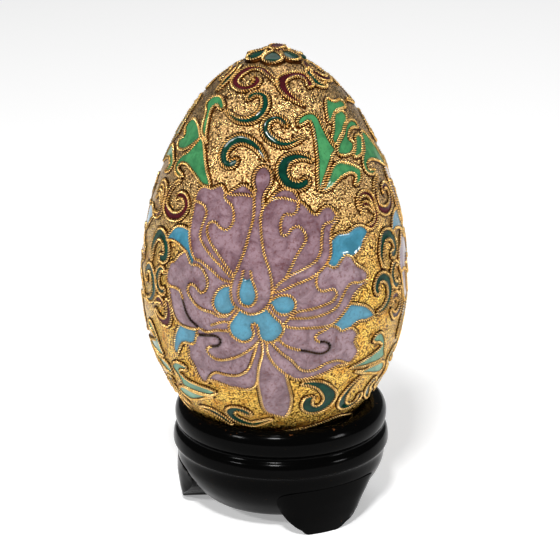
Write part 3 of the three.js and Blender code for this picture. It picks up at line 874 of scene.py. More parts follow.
SCROLLS: tuple[Scroll, ...] = (
    Scroll(Tint.MAROON, 0.75, (
        (4, 65), (1.6, 68), (-8.6, 71.7), (-18.8, 74.2), (-29, 74.9), (-39, 74.7),
        (-48, 72.7), (-52, 69), (-50, 65.4), (-39, 62.9), (-29, 63), (-22, 65), (-20, 67.2),
        (-25, 68.8), (-30, 67.6))),
    Scroll(Tint.MAROON, 0.8, (
        (26, 55.5), (20, 58), (14, 60.8), (10.6, 63.6), (9.4, 67), (14, 69), (24, 70.2),
        (35, 70.2), (42, 69), (45.5, 66.4), (43, 64), (37.5, 63))),
    Scroll(Tint.BOTTLE, 0.7, (
        (68, 62.4), (62, 61.4), (56.4, 62.4), (53.2, 64.6), (53.4, 67.4), (57, 69.6),
        (63, 70.8), (70, 71)), (1, 2)),
    Scroll(Tint.BOTTLE, 0.65, (
        (-65.4, 58.4), (-64, 61), (-64.4, 65), (-68, 69.4), (-77, 73)), (1,)),
    Scroll(Tint.BOTTLE, 0.62, (
        (-40, 52.6), (-34, 51.3), (-25, 49.8), (-16, 50.4), (-9.5, 53), (-6.8, 56.4),
        (-8.4, 59.8), (-14, 61), (-20, 60.4), (-24.2, 57.6))),
    Scroll(Tint.BOTTLE, 0.62, (
        (20.4, 44.6), (14, 43), (6.7, 42.2), (0, 43.6), (-4.6, 46), (-5.4, 49), (-2, 51),
        (3.4, 51.4), (7.4, 50), (9.6, 48))),
    Scroll(Tint.BOTTLE, 0.75, (
        (-4.4, 37.4), (-8.6, 40.6), (-14.7, 42.8), (-21.8, 43.4), (-27.6, 41.4),
        (-29.8, 38.4), (-28, 35.9), (-23.9, 35.4), (-20.4, 37.2))),
    Scroll(Tint.BOTTLE, 0.8, (
        (23, 36.4), (18.5, 37.8), (12, 38.2), (6.8, 36.8), (5, 33.6), (7.6, 30.6),
        (12.4, 29.5), (16.8, 30.4), (18, 32))),
    Scroll(Tint.MAROON, 0.6, (
        (-54, 27.4), (-58, 26.2), (-61.6, 23), (-62.2, 19.6), (-58, 17.6), (-53, 17.2),
        (-47.6, 18.6), (-45.4, 21.4), (-48, 23.4), (-52.4, 23.4), (-54, 21.8))),
    Scroll(Tint.MAROON, 0.45, (
        (43.6, 20.6), (45.4, 23.4), (49, 24.4), (53.6, 23.2), (55.6, 19.4), (54.2, 16.2),
        (50, 14.9), (46.6, 15.2))),
    Scroll(Tint.MAROON, 0.35, ((44.6, 19), (47.4, 21.4), (51.4, 20.6), (53, 18.6))),
    Scroll(Tint.BOTTLE, 0.75, (
        (54.6, 2.6), (53.6, 5.6), (54.8, 8.6), (58, 10.9), (62.6, 10.7), (66, 8.6),
        (66.4, 6), (63.8, 4.9), (61, 5.6))),
    Scroll(Tint.BOTTLE, 0.7, (
        (48.4, -9.3), (53, -9), (57, -7.2), (58.4, -4.4), (57, -1.4), (53.4, 0.3),
        (50, -0.2), (48.6, -2.4), (50.4, -4))),
    Scroll(Tint.BOTTLE, 0.55, (
        (67.4, 1.4), (64.4, 2.2), (62, 1.2), (61, -1), (62.6, -3.4), (65.6, -4.2), (67.4, -3))),
    Scroll(Tint.MAROON, 0.6, (
        (-61, -10.4), (-56.4, -13), (-51.6, -12.6), (-49.6, -9.4), (-51, -5.6))),
    Scroll(Tint.MAROON, 0.5, ((-60.6, -8.2), (-58, -7), (-55, -7.2), (-53.8, -9))),
    Scroll(Tint.BOTTLE, 0.7, (
        (-0.8, -42.4), (-3.5, -43.4), (-7, -44.6), (-12, -45.9), (-18, -45.2), (-22.4, -43.2),
        (-23.6, -41), (-21.5, -39.2), (-17.5, -38.9), (-14.2, -39.9), (-12.4, -41.4))),
    Scroll(Tint.BOTTLE, 0.95, (
        (12.6, -27.3), (18, -27.9), (22, -29), (25.6, -31.3), (28.3, -34.2), (27.6, -37),
        (24.6, -38.9), (20.6, -39.2), (17.4, -37.7), (16.5, -35.4), (17.8, -33.8),
        (19.6, -33.6))),
    Scroll(Tint.BOTTLE, 0.65, (
        (44.5, -29.4), (41.5, -31), (38.6, -33.6), (37, -36.6), (38.2, -39.6), (41.6, -41.5),
        (46, -41.8), (49.6, -40.2), (50, -38.4), (48, -37.2))),
    Scroll(Tint.BOTTLE, 0.6, (
        (-45, -42.6), (-40, -42), (-34, -42.8), (-29.5, -45), (-26, -48))),
    Scroll(Tint.BOTTLE, 0.6, (
        (66, -43.4), (62, -41.8), (58, -39.2), (55.4, -36), (57.6, -33.8), (61, -34.8))),
)


# the wavy wire that runs round the egg just over its seat
SEAT_WIRE: Outline = (
    (-60, -50.5), (-48, -52), (-36, -50.6), (-24, -52), (-10, -51.2), (4, -50.6), (15, -49.8),
    (28, -47.8), (40, -46.4), (50, -48), (60, -50.5))


# ---- cells of enamel -------------------------------------------------------------------------


@dataclass(eq=False)
class Cell:
    """A patch of the chart that wires fence off.

    Args:
        spots: Rows of longitude and latitude.
        triangles: Corner numbers of its triangles.
        clearance: Distance of each corner from the nearest wire's middle, in mm.
    """

    spots: np.ndarray
    triangles: list[tuple[int, ...]]
    clearance: np.ndarray

    def middle(self) -> np.ndarray:
        """Gives the mean place of the corners."""
        return self.spots.mean(axis=0)

    def holds(self, place: Place) -> bool:
        """Says whether a place lies in the cell."""
        for triangle in self.triangles:
            corners = self.spots[list(triangle)]
            sides = np.roll(corners, -1, axis=0) - corners
            offset = np.array(place) - corners
            turn = sides[:, 0] * offset[:, 1] - sides[:, 1] * offset[:, 0]
            if (turn >= 0).all():
                return True
        return False


def tree_of(points: np.ndarray) -> KDTree:
    """Makes a search tree of points with two or three coordinates."""
    tree = KDTree(len(points))
    for number, point in enumerate(points):
        tree.insert(Vector((*point, 0.0)[:3]), number)
    tree.balance()
    return tree


def joined_faces(
    faces: Sequence[Sequence[int]], blocked: set[frozenset[int]],
) -> list[list[int]]:
    """Groups the triangles that can be reached from each other without crossing a fence.

    Args:
        faces: Corner numbers of each triangle.
        blocked: The sides that are part of a fence.

    Returns:
        The triangles' numbers, group by group.
    """
    def sides_of(number: int) -> Iterable[frozenset[int]]:
        face = faces[number]
        return (frozenset(pair) for pair in zip(face, face[1:] + face[:1]))

    sharing = defaultdict(list)
    for number in range(len(faces)):
        for side in sides_of(number):
            sharing[side].append(number)
    seen = [False] * len(faces)
    groups = []
    for seed in range(len(faces)):
        if seen[seed]:
            continue
        seen[seed] = True
        members = [seed]
        for number in members:
            for side in sides_of(number):
                for other in sharing[side] if side not in blocked else ():
                    if not seen[other]:
                        seen[other] = True
                        members.append(other)
        groups.append(members)
    return groups


ROW_RISE = 0.866  # rows of points with even sides lie this share of their spacing apart
WALL_ROOM = 0.45  # points closer to a fence than this share of the spacing are left out
CHART_MARGIN = 1.0  # open ground kept round the outermost fence, in mm
CHART_SLACK = 1e-6  # how near the chart's left side the open ground has to come, in mm
SAME_SPOT = 1e-4  # points closer than this are one, in mm


def fenced_cells(fences: Sequence[np.ndarray], spacing: float = 0.5) -> list[Cell]:
    """Splits the chart into the cells that fences close off.

    Args:
        fences: Lines of longitude and latitude.
        spacing: Distance between the points inside a cell, in mm.

    Returns:
        The closed cells, without the open ground outside.
    """
    lines = [fence * CHART_SCALE for fence in fences]
    walls = np.vstack(lines)
    near_wall = tree_of(walls)
    low, high = walls.min(axis=0) - CHART_MARGIN, walls.max(axis=0) + CHART_MARGIN
    points = [low, (high[0], low[1]), high, (low[0], high[1])]
    edges = []
    for line in lines:
        first = len(points)
        points.extend(line)
        edges.extend((first + i, first + i + 1) for i in range(len(line) - 1))
    for row, y in enumerate(np.arange(low[1], high[1], spacing * ROW_RISE)):
        for x in np.arange(low[0] + (row % 2) * spacing / 2, high[0], spacing):
            if near_wall.find((x, y, 0.0))[2] > spacing * WALL_ROOM:
                points.append((x, y))
    corners, sides, faces, _, sources, _ = delaunay_2d_cdt(
        [Vector(point) for point in points], edges, [], 0, SAME_SPOT)
    blocked = {frozenset(side) for side, source in zip(sides, sources) if source}
    flat = np.array([tuple(corner) for corner in corners])
    cells = []
    for members in joined_faces(faces, blocked):
        used = sorted({corner for number in members for corner in faces[number]})
        open_ground = flat[used][:, 0].min() <= low[0] + CHART_SLACK
        if open_ground:
            continue
        index = {corner: i for i, corner in enumerate(used)}
        triangles = [tuple(index[corner] for corner in faces[number]) for number in members]
        clearance = np.array([near_wall.find((*flat[corner], 0.0))[2] for corner in used])
        cells.append(Cell(flat[used] / CHART_SCALE, triangles, clearance))
    return cells


RIM_LIFT = -0.05  # where the enamel meets its wire, in mm from the egg's nominal face
MIDDLE_LIFT = -0.19  # where it has sunk in the firing, in the middle of a wide cell
SLOPE_WIDTH = 1.1  # how far from the wire it keeps sinking, in mm
ENAMEL_DEPTH = 0.35  # thickness of the fired glass, in mm
WIRE_SHADE_WIDTH = 0.75  # how far from the wire's middle its painted shade reaches, in mm


def level(spots: np.ndarray) -> np.ndarray:
    """Gives no rise over the egg's face at any place."""
    return np.zeros(len(spots))


def enamel_mesh(
    name: str, cells: Sequence[Cell], turn: float, rise: Rise = level,
) -> bpy.types.Mesh:
    """Fills cells with enamel.

    Args:
        name: Name of the mesh.
        cells: Cells to fill.
        turn: Longitude that the pattern is turned by, in degrees.
        rise: Gives how far the work stands over the egg's own face, in mm.

    Returns:
        A mesh of closed slabs with a hollowed face.
    """
    bm = bmesh.new()
    edge = bm.verts.layers.float.new("edge")
    outward = bm.verts.layers.float_vector.new("outward")
    for cell in cells:
        slope = np.clip(cell.clearance / SLOPE_WIDTH, 0, 1)
        lift = rise(cell.spots) + RIM_LIFT + (MIDDLE_LIFT - RIM_LIFT) * slope * (2 - slope)
        spots = cell.spots + (turn, 0)
        tops = EGG.place(spots, lift)
        away = EGG.place(spots, lift + 1) - tops
        corners = []
        for top, direction, clearance in zip(tops, away, cell.clearance):
            corner = bm.verts.new(top)
            # painted shade against the wires, fading out with distance from them
            corner[edge] = max(0.0, 1 - clearance / WIRE_SHADE_WIDTH)
            corner[outward] = direction
            corners.append(corner)
        for triangle in cell.triangles:
            bm.faces.new([corners[i] for i in triangle])
    sunk = bmesh.ops.extrude_face_region(bm, geom=bm.faces[:], use_keep_orig=True)
    for corner in (item for item in sunk["geom"] if isinstance(item, bmesh.types.BMVert)):
        corner.co -= corner[outward] * ENAMEL_DEPTH
    bm.verts.layers.float_vector.remove(outward)
    bmesh.ops.recalc_face_normals(bm, faces=bm.faces[:])
    return finished_mesh(bm, name)


# ---- wires -----------------------------------------------------------------------------------


@dataclass(frozen=True)
class TwistedWire:
    """Two thin strands twisted together and soldered on edge, the fences of the cells.

    Args:
        radius: Half the width across both strands, in mm.
        twist: Length of one full turn of the strands, in mm.
        step: Length between the rings of the mesh, in mm.
        lift: Height of the wire's middle over the nominal face, in mm.
        reach: How far a loose end is drawn to meet another wire, in mm.
        touching: Gap under which an end already lies on the other wire, in mm.
        overrun: How far a joined end runs into the other wire, in mm.
        bed_radius: Radius of the solder seam that the wire is sunk in, whose dark colour is also
            painted shade along the wire, in mm.
        bed_lift: Height of the seam's middle over the nominal face, in mm.
        thinning: The seam follows one in so many of the wire's points.
        half_section: Half the outline round both strands, as shares of the radius.
        shaded_grooves: Which points of the whole outline lie between the strands, where shade is
            painted.
    """

    radius: float = 0.37
    twist: float = 1.0
    step: float = 0.125
    lift: float = -0.2
    reach: float = 0.85
    touching: float = 0.02
    overrun: float = 0.15
    bed_radius: float = 0.72
    bed_lift: float = -0.74
    thinning: int = 3
    half_section: Outline = ((1, 0), (0.55, 0.45), (0, 0.12), (-0.55, 0.45))
    shaded_grooves: tuple[int, int] = (2, 6)

    def section(self) -> bpy.types.Object:
        """Draws the section of two strands side by side."""
        name = f"strands_{self.radius}"
        made = bpy.data.objects.get(name)
        if made:
            return made
        ring = [*self.half_section, *((-x, -y) for x, y in self.half_section)]
        curve = bpy.data.curves.new(name, "CURVE")
        spline = curve.splines.new("POLY")
        spline.points.add(len(ring) - 1)
        for point, (x, y) in zip(spline.points, ring):
            point.co = (x * self.radius * MM, y * self.radius * MM, 0, 1)
        spline.use_cyclic_u = True
        return placed(name, curve)

    def mesh(self, name: str, runs: Sequence[np.ndarray]) -> bpy.types.Mesh:
        """Sweeps the twisted section along runs of points in metres.

        Args:
            name: Name of the mesh.
            runs: Rows of X, Y and Z, each run in even steps.

        Returns:
            A mesh with one closed tube a run.
        """
        curve = self.curve(name, runs)
        curve.bevel_mode = "OBJECT"
        curve.bevel_object = self.section()
        for spline, run in zip(curve.splines, runs):
            along = np.linalg.norm(np.diff(run, axis=0), axis=1).cumsum() / MM
            tilt = np.concatenate(([0.0], along)) * math.tau / self.twist
            spline.points.foreach_set("tilt", tilt)
        mesh = self.swept_mesh(name, curve)
        # marks the grooves between the strands, where the finish paints shade
        groove_shade = mesh.attributes.new("edge", "FLOAT", "POINT")
        number = np.arange(len(mesh.vertices)) % (2 * len(self.half_section))
        groove_shade.data.foreach_set("value", np.isin(number, self.shaded_grooves).astype(float))
        return mesh

    def lay(
        self, name: str, lines: Sequence[np.ndarray], turn: float, rise: Rise = level,
    ) -> bpy.types.Mesh:
        """Lays wires on the egg along chart lines.

        Args:
            name: Name of the mesh.
            lines: Rows of longitude and latitude.
            turn: Longitude that they are turned by, in degrees.
            rise: Gives how far the work stands over the egg's own face, in mm.

        Returns:
            The wires' mesh.
        """
        return self.mesh(
            name, [EGG.place(line + (turn, 0), self.lift + rise(line)) for line in lines])

    def bed(
        self, name: str, lines: Sequence[np.ndarray], turn: float, rise: Rise = level,
    ) -> bpy.types.Mesh:
        """Runs the solder seam under wires on the egg, dark also as painted shade along them; the
        arguments are those of lay.
        """
        thinned = [np.vstack((line[:-1:self.thinning], line[-1:])) for line in lines]
        curve = self.curve(name, [
            EGG.place(line + (turn, 0), self.bed_lift + rise(line)) for line in thinned])
        curve.bevel_depth = self.bed_radius * MM
        curve.bevel_resolution = 2
        return self.swept_mesh(name, curve)

    @staticmethod
    def curve(name: str, runs: Sequence[np.ndarray]) -> bpy.types.Curve:
        """Draws the middle of each run of points in metres, to sweep a section along."""
        curve = bpy.data.curves.new(name, "CURVE")
        curve.dimensions = "3D"
        curve.use_fill_caps = True
        for run in runs:
            spline = curve.splines.new("POLY")
            spline.points.add(len(run) - 1)
            spline.points.foreach_set("co", np.column_stack((run, np.ones(len(run)))).ravel())
        return curve

    @staticmethod
    def swept_mesh(name: str, curve: bpy.types.Curve) -> bpy.types.Mesh:
        """Turns a swept curve into a smooth mesh."""
        swept = placed(name, curve)
        graph = bpy.context.evaluated_depsgraph_get()
        mesh = bpy.data.meshes.new_from_object(swept.evaluated_get(graph))
        mesh.name = name
        bpy.data.objects.remove(swept)
        mesh.polygons.foreach_set("use_smooth", [True] * len(mesh.polygons))
        return mesh

    def clear_section(self) -> None:
        """Takes the drawn section away once the wires are swept."""
        bpy.data.objects.remove(self.section())

    def soldered(self, lines: dict[str, np.ndarray]) -> dict[str, np.ndarray]:
        """Draws each loose end on to the wire beside it, and a little into it.

        Args:
            lines: Chart lines by name.

        Returns:
            The lines with their ends joined.
        """
        joined = {}
        for name, line in lines.items():
            others = np.vstack([other for key, other in lines.items() if key != name])
            tree = tree_of(others * CHART_SCALE)
            ends = []
            for tip, before in ((line[0], line[2]), (line[-1], line[-3])):
                flat_tip = tip * CHART_SCALE
                spot, _, gap = tree.find((*flat_tip, 0.0))
                if gap > self.reach:
                    ends.append(np.empty((0, 2)))
                    continue
                target = np.array(spot[:2])
                if gap > self.touching:
                    onward = target - flat_tip
                else:
                    onward = flat_tip - before * CHART_SCALE
                past = target + onward / np.linalg.norm(onward) * self.overrun
                ends.append(past[None, :] / CHART_SCALE)
            joined[name] = np.vstack((ends[0], line, ends[1]))
        return joined


WIRE = TwistedWire()


# ---- the egg's sub-assemblies ----------------------------------------------------------------


@dataclass
class Decoration:
    """The wires and enamels of the egg, three times round.

    Args:
        shift: Small move of the whole pattern, in degrees.
        scroll_fullness: Share of a scroll's path, and its width there over its half width.
        scroll_step: Length between the points along a scroll's enamel, in mm.
        head_share: Share of a scroll's path that its round head takes.
        wire_lines: Chart lines of every wire laid, kept for the tarnish and painted shade beside
            them.
    """

    shift: Place = (-0.4, 0.35)
    scroll_fullness: Outline = ((0, 0.4), (0.2, 0.9), (0.45, 1.4), (0.7, 1.2), (0.9, 1), (1, 1))
    scroll_step: float = 0.3
    head_share: float = 0.05
    wire_lines: list[np.ndarray] = field(default_factory=list)

    def build(self) -> None:
        """Makes every field, leaf, scroll and wire."""
        self.flower()
        self.leaves()
        self.scrolls()

    def traced(self, points: Outline, closed: bool = False) -> np.ndarray:
        """Traces a line of the pattern in the wire's own steps."""
        return EGG.trace(points, WIRE.step, closed) + self.shift

    def lay_wires(self, name: str, lines: Sequence[np.ndarray], repeat: int) -> None:
        """Lays and solders one group of gilt wires in one repeat."""
        mesh = WIRE.lay(f"{name}_{repeat}", lines, turn_of(repeat))
        deliver(f"{name}_{repeat}", mesh, GILT_WIRE, Body.EGG)
        self.solder(name, lines, repeat)

    def solder(self, name: str, lines: Sequence[np.ndarray], repeat: int) -> None:
        """Seams one group of wires to the egg, dark also as painted shade along them, and notes
        where they run.
        """
        turn = turn_of(repeat)
        seam = f"{name.removesuffix('_wires')}_solder_{repeat}"
        deliver(seam, WIRE.bed(seam, lines, turn), SOLDER_WITH_SHADE, Body.EGG)
        self.wire_lines.extend(line + (turn, 0) for line in lines)

    def flower(self) -> None:
        """Makes the flower's fields and wires."""
        lines = {name: self.traced(points) for name, points in FLOWER_WIRES.items()}
        lines = WIRE.soldered(lines)
        breaks = [self.traced(points) for points in COLOUR_BREAKS]
        cells = fenced_cells([*lines.values(), *breaks])
        fields: dict[str, list[Cell]] = defaultdict(list)
        for name, seeds in BLUE_FIELDS.items():
            for seed in seeds:
                found = [cell for cell in cells if cell.holds(seed)]
                fields[name].extend(found)
                cells = [cell for cell in cells if cell not in found]
        for cell in cells:
            distance = {
                name: np.linalg.norm((cell.middle() - place) * CHART_SCALE)
                for name, place in LILAC_FIELDS.items()
            }
            fields[min(distance, key=distance.get)].append(cell)
        for repeat in REPEATS:
            for name, group in fields.items():
                blue = name in BLUE_FIELDS
                finish, slot = (TURQUOISE, Slot.BLUE) if blue else (LILAC, Slot.LILAC)
                mesh = enamel_mesh(f"{name}_enamel_{repeat}", group, turn_of(repeat))
                deliver(mesh.name, mesh, finish, Body.EGG, [f"{name}_{repeat}"])
        self.flower_wires(lines)

    def flower_wires(self, lines: dict[str, np.ndarray]) -> None:
        """Lays the flower's wires, with the worn stretches of the front flower."""
        bright, worn = [], []
        for name, line in lines.items():
            start, end = (int(len(line) * share) for share in WORN_STRETCHES.get(name, (0, 0)))
            if end > start:
                bright.extend(part for part in (line[:start + 1], line[end:]) if len(part) > 3)
                worn.append(line[start:end + 1])
            else:
                bright.append(line)
        front = WIRE.lay("flower_wires_1", bright, 0)
        deliver("flower_wires_1", front, GILT_WIRE, Body.EGG)
        rubbed = WIRE.lay("flower_worn_wires_1", worn, 0)
        deliver("flower_worn_wires_1", rubbed, WORN_WIRE, Body.EGG)
        for repeat in REPEATS[1:]:
            mesh = WIRE.lay(f"flower_wires_{repeat}", list(lines.values()), turn_of(repeat))
            deliver(f"flower_wires_{repeat}", mesh, GILT_WIRE, Body.EGG)
        for repeat in REPEATS:
            self.solder("flower_wires", list(lines.values()), repeat)

    def leaves(self) -> None:
        """Makes the green leaves and their wires."""
        outlines = {leaf.name: self.traced(leaf.outline, closed=True) for leaf in LEAVES}
        for leaf in LEAVES:
            cells = fenced_cells([outlines[leaf.name]])
            finish, slot = leaf.tint.value
            for repeat in leaf.repeats:
                name = f"leaf_{leaf.name}_{repeat}"
                mesh = enamel_mesh(name, cells, turn_of(repeat))
                nodes = [f"{leaf.node}_{repeat}"] if leaf.node else []
                deliver(name, mesh, finish, Body.EGG, nodes)
        for repeat in REPEATS:
            lines = [outlines[leaf.name] for leaf in LEAVES if repeat in leaf.repeats]
            self.lay_wires("leaf_wires", lines, repeat)

    def scrolls(self) -> None:
        """Makes the scrolls' enamels and wires, and the wavy wire over the seat."""
        made = [(scroll, *self.ribbon(scroll)) for scroll in SCROLLS]
        for repeat in REPEATS:
            here = [item for item in made if repeat in item[0].repeats]
            for tint in (Tint.BOTTLE, Tint.MAROON):
                finish, slot = tint.value
                name = f"scrolls_{tint.name.lower()}_{repeat}"
                cells = [cell for scroll, cell, _ in here if scroll.tint is tint]
                mesh = enamel_mesh(name, cells, turn_of(repeat))
                deliver(name, mesh, finish, Body.EGG)
            outlines = [outline for _, _, outline in here]
            self.lay_wires("scroll_wires", [*outlines, self.traced(SEAT_WIRE)], repeat)

    def ribbon(self, scroll: Scroll) -> tuple[Cell, np.ndarray]:
        """Widens a scroll's path into its enamel and the wire round it.

        Args:
            scroll: The scroll to make.

        Returns:
            Its enamel as a cell, and the closed chart line of its wire.
        """
        line = EGG.trace(scroll.path, self.scroll_step) + self.shift
        share = np.linspace(0, 1, len(line))
        full = np.interp(share, *zip(*self.scroll_fullness))
        head = np.sqrt(np.clip((1 - share) / self.head_share, 0, 1))
        half = scroll.half_width * full * head
        narrow = np.cos(np.radians(line[:, 1]))
        local = np.column_stack((CHART_SCALE[0] * narrow, np.full(len(line), CHART_SCALE[1])))
        ahead = np.gradient(line, axis=0) * local
        ahead /= np.linalg.norm(ahead, axis=1)[:, None]
        side = np.column_stack((-ahead[:, 1], ahead[:, 0])) * half[:, None] / local
        columns = np.array((-1, -0.5, 0, 0.5, 1))
        spots = np.vstack([line + side * column for column in columns])
        rows = len(line)
        triangles = []
        for column in range(len(columns) - 1):
            for row in range(rows - 1):
                start, across = column * rows + row, (column + 1) * rows + row
                triangles.append((across + 1, start + 1, start))
                triangles.append((across, across + 1, start))
        clearance = np.concatenate([half * (1 - abs(column)) for column in columns])
        outline = np.vstack((line - side, (line + side)[::-1], (line - side)[:2]))
        even = EGG.trace(outline[::2], WIRE.step)
        return Cell(spots, triangles, clearance), even


@dataclass
class Ground:
    """The gilded, granulated ground that shows between the wires.

    Args:
        lift: Its height over the nominal face, in mm.
        columns: Steps round the egg.
        rows: Steps from pole to pole.
        grain_height: Rise and fall of the grains, in mm.
        grain_pitch: Distance between them, in mm.
        stain_and_shade_width: How far from a wire the ground takes its tarnish and painted shade,
            in mm.
    """

    lift: float = -0.26
    columns: int = 372
    rows: int = 262
    grain_height: float = 0.05
    grain_pitch: float = 0.9
    stain_and_shade_width: float = 0.75

    def build(self, wire_lines: Sequence[np.ndarray]) -> None:
        """Makes the ground, with its tarnish and painted shade beside the wires.

        Args:
            wire_lines: Chart lines of the wires.
        """
        latitudes = np.linspace(-90, 90, self.rows + 1)
        section = EGG.place(np.column_stack((np.full(len(latitudes), 90.0), latitudes)), self.lift)
        section[:, 1] = 0
        section[[0, -1], 0] = 0
        bm = spun(section, self.columns)
        edge = bm.verts.layers.float.new("edge")
        wires = tree_of(np.vstack([EGG.place(line[::2]) for line in wire_lines]))
        for vert in bm.verts:
            gap = wires.find(vert.co)[2] / MM
            # tarnish and painted shade beside the wires
            vert[edge] = max(0.0, 1 - gap / self.stain_and_shade_width)
            rise = noise.noise(vert.co * per_metre(self.grain_pitch)) * self.grain_height
            vert.co += vert.normal * rise * MM
        mesh = finished_mesh(bm, "gilded_ground_skin")
        deliver("gilded_ground_skin", mesh, GILT_GROUND, Body.EGG, ["gilded_ground"])


def spun(section: np.ndarray, steps: int, centre: float = 0.0) -> bmesh.types.BMesh:
    """Turns a section round an upright axis.

    Args:
        section: Rows of X, Y and Z in metres, on one side of the axis.
        steps: Faces round the axis.
        centre: The axis's place in X, in metres.

    Returns:
        The turned shape, with its poles closed and its faces pointing out.
    """
    bm = bmesh.new()
    corners = [bm.verts.new(point) for point in section]
    sides = [bm.edges.new(pair) for pair in zip(corners, corners[1:])]
    bmesh.ops.spin(bm, geom=corners + sides, axis=(0, 0, 1), cent=(centre, 0, 0), steps=steps,
                   angle=math.tau, use_merge=True)
    bmesh.ops.remove_doubles(bm, verts=bm.verts[:], dist=1e-7)
    bmesh.ops.recalc_face_normals(bm, faces=bm.faces[:])
    bm.normal_update()
    return bm


@dataclass
class Crown:
    """The rosette at the egg's top and the small knob that closes it.

    Args:
        petals: Number of petals.
        first_petal: Longitude of the front petal, in degrees.
        knob_offset: How far the knob sits off the axis towards +X, in mm.
        ring_radius: Radius of the twisted ring round the knob, in mm.
        ring_height: Its height, in mm.
        set_back: How far the rosette and the knob sit behind the axis, in mm.
        edge_rise: How far the rosette's rim stands over the egg's face, in mm.
        middle_rise: The same at its middle, in mm.
        half_petal: Half a petal's wire, from its outer tip to its inner end.
        petal_spacing: Distance between the points inside a petal's enamel, in mm.
        ring_points: Points round the twisted ring.
        cap: Radius and height of the cap, from its flat top down to the rosette, in mm.
        cap_foot: Height of the cap's hidden underside, in mm.
        cap_sides: Faces round the cap.
    """

    petals: int = 6
    first_petal: float = -4.0
    knob_offset: float = 0.55
    ring_radius: float = 1.4
    ring_height: float = 88.62
    set_back: float = 1.2
    edge_rise: float = 0.6
    middle_rise: float = 1.0
    half_petal: Outline = ((0, 76.6), (13, 77.2), (23, 78.9), (27, 81.2), (23, 83.8), (8, 86))
    petal_spacing: float = 1.6
    ring_points: int = 84
    cap: Outline = ((0, 88.98), (0.6, 88.97), (1.05, 88.9), (1.3, 88.7), (1.35, 88.4), (1.5, 88),
                    (1.9, 87.6), (2.0, 87.2))
    cap_foot: float = 87.0
    cap_sides: int = 40

    def build(self) -> None:
        """Makes the rosette, the ring and the cap."""
        mirrored = [(-longitude, latitude) for longitude, latitude in self.half_petal[:0:-1]]
        petal = EGG.trace([*self.half_petal, *mirrored], WIRE.step, closed=True)
        step = 360 / self.petals
        outlines = [petal + (self.first_petal + step * i, 0) for i in range(self.petals)]
        cells = [
            cell for outline in outlines for cell in fenced_cells([outline], self.petal_spacing)]
        back = Matrix.Translation((0, self.set_back * MM, 0))
        for name, make, lines, finish, slot in (
            ("rosette_petals", enamel_mesh, cells, BOTTLE_GREEN, Slot.GREEN),
            ("rosette_solder", WIRE.bed, outlines, SOLDER_WITH_SHADE, Slot.GILT),
            ("rosette_wires", WIRE.lay, outlines, GILT_WIRE, Slot.GILT),
        ):
            mesh = make(name, lines, 0, self.rise)
            mesh.transform(back)
            deliver(name, mesh, finish, Body.EGG)
        self.knob(back)

    def rise(self, spots: np.ndarray) -> np.ndarray:
        """Gives the rosette's height over the egg's face: it is a low dome."""
        rim = self.half_petal[0][1]
        share = np.clip((spots[:, 1] - rim) / (90 - rim), 0, 1)
        return self.edge_rise + (self.middle_rise - self.edge_rise) * share

    def knob(self, back: Matrix) -> None:
        """Makes the twisted ring and the dark cap inside it.

        Args:
            back: The move behind the egg's axis.
        """
        turn = np.linspace(0, math.tau, self.ring_points)
        ring = np.column_stack((np.cos(turn), np.sin(turn), np.zeros(len(turn))))
        ring = ring * self.ring_radius + (self.knob_offset, 0, self.ring_height)
        rings = WIRE.mesh("knob_rings", [ring * MM])
        rings.transform(back)
        deliver("knob_rings", rings, GILT_WIRE, Body.EGG)
        profile = smooth_line(self.cap, False, np.ones(2))
        section = [(radius + self.knob_offset, 0, height) for radius, height in profile]
        section.append((self.knob_offset, 0, self.cap_foot))
        bm = spun(np.array(section) * MM, self.cap_sides, self.knob_offset * MM)
        mesh = finished_mesh(bm, "knob_cap")
        mesh.transform(back)
        deliver("knob_cap", mesh, MAROON, Body.EGG, ["top_knob"])


# ---- the stand -------------------------------------------------------------------------------


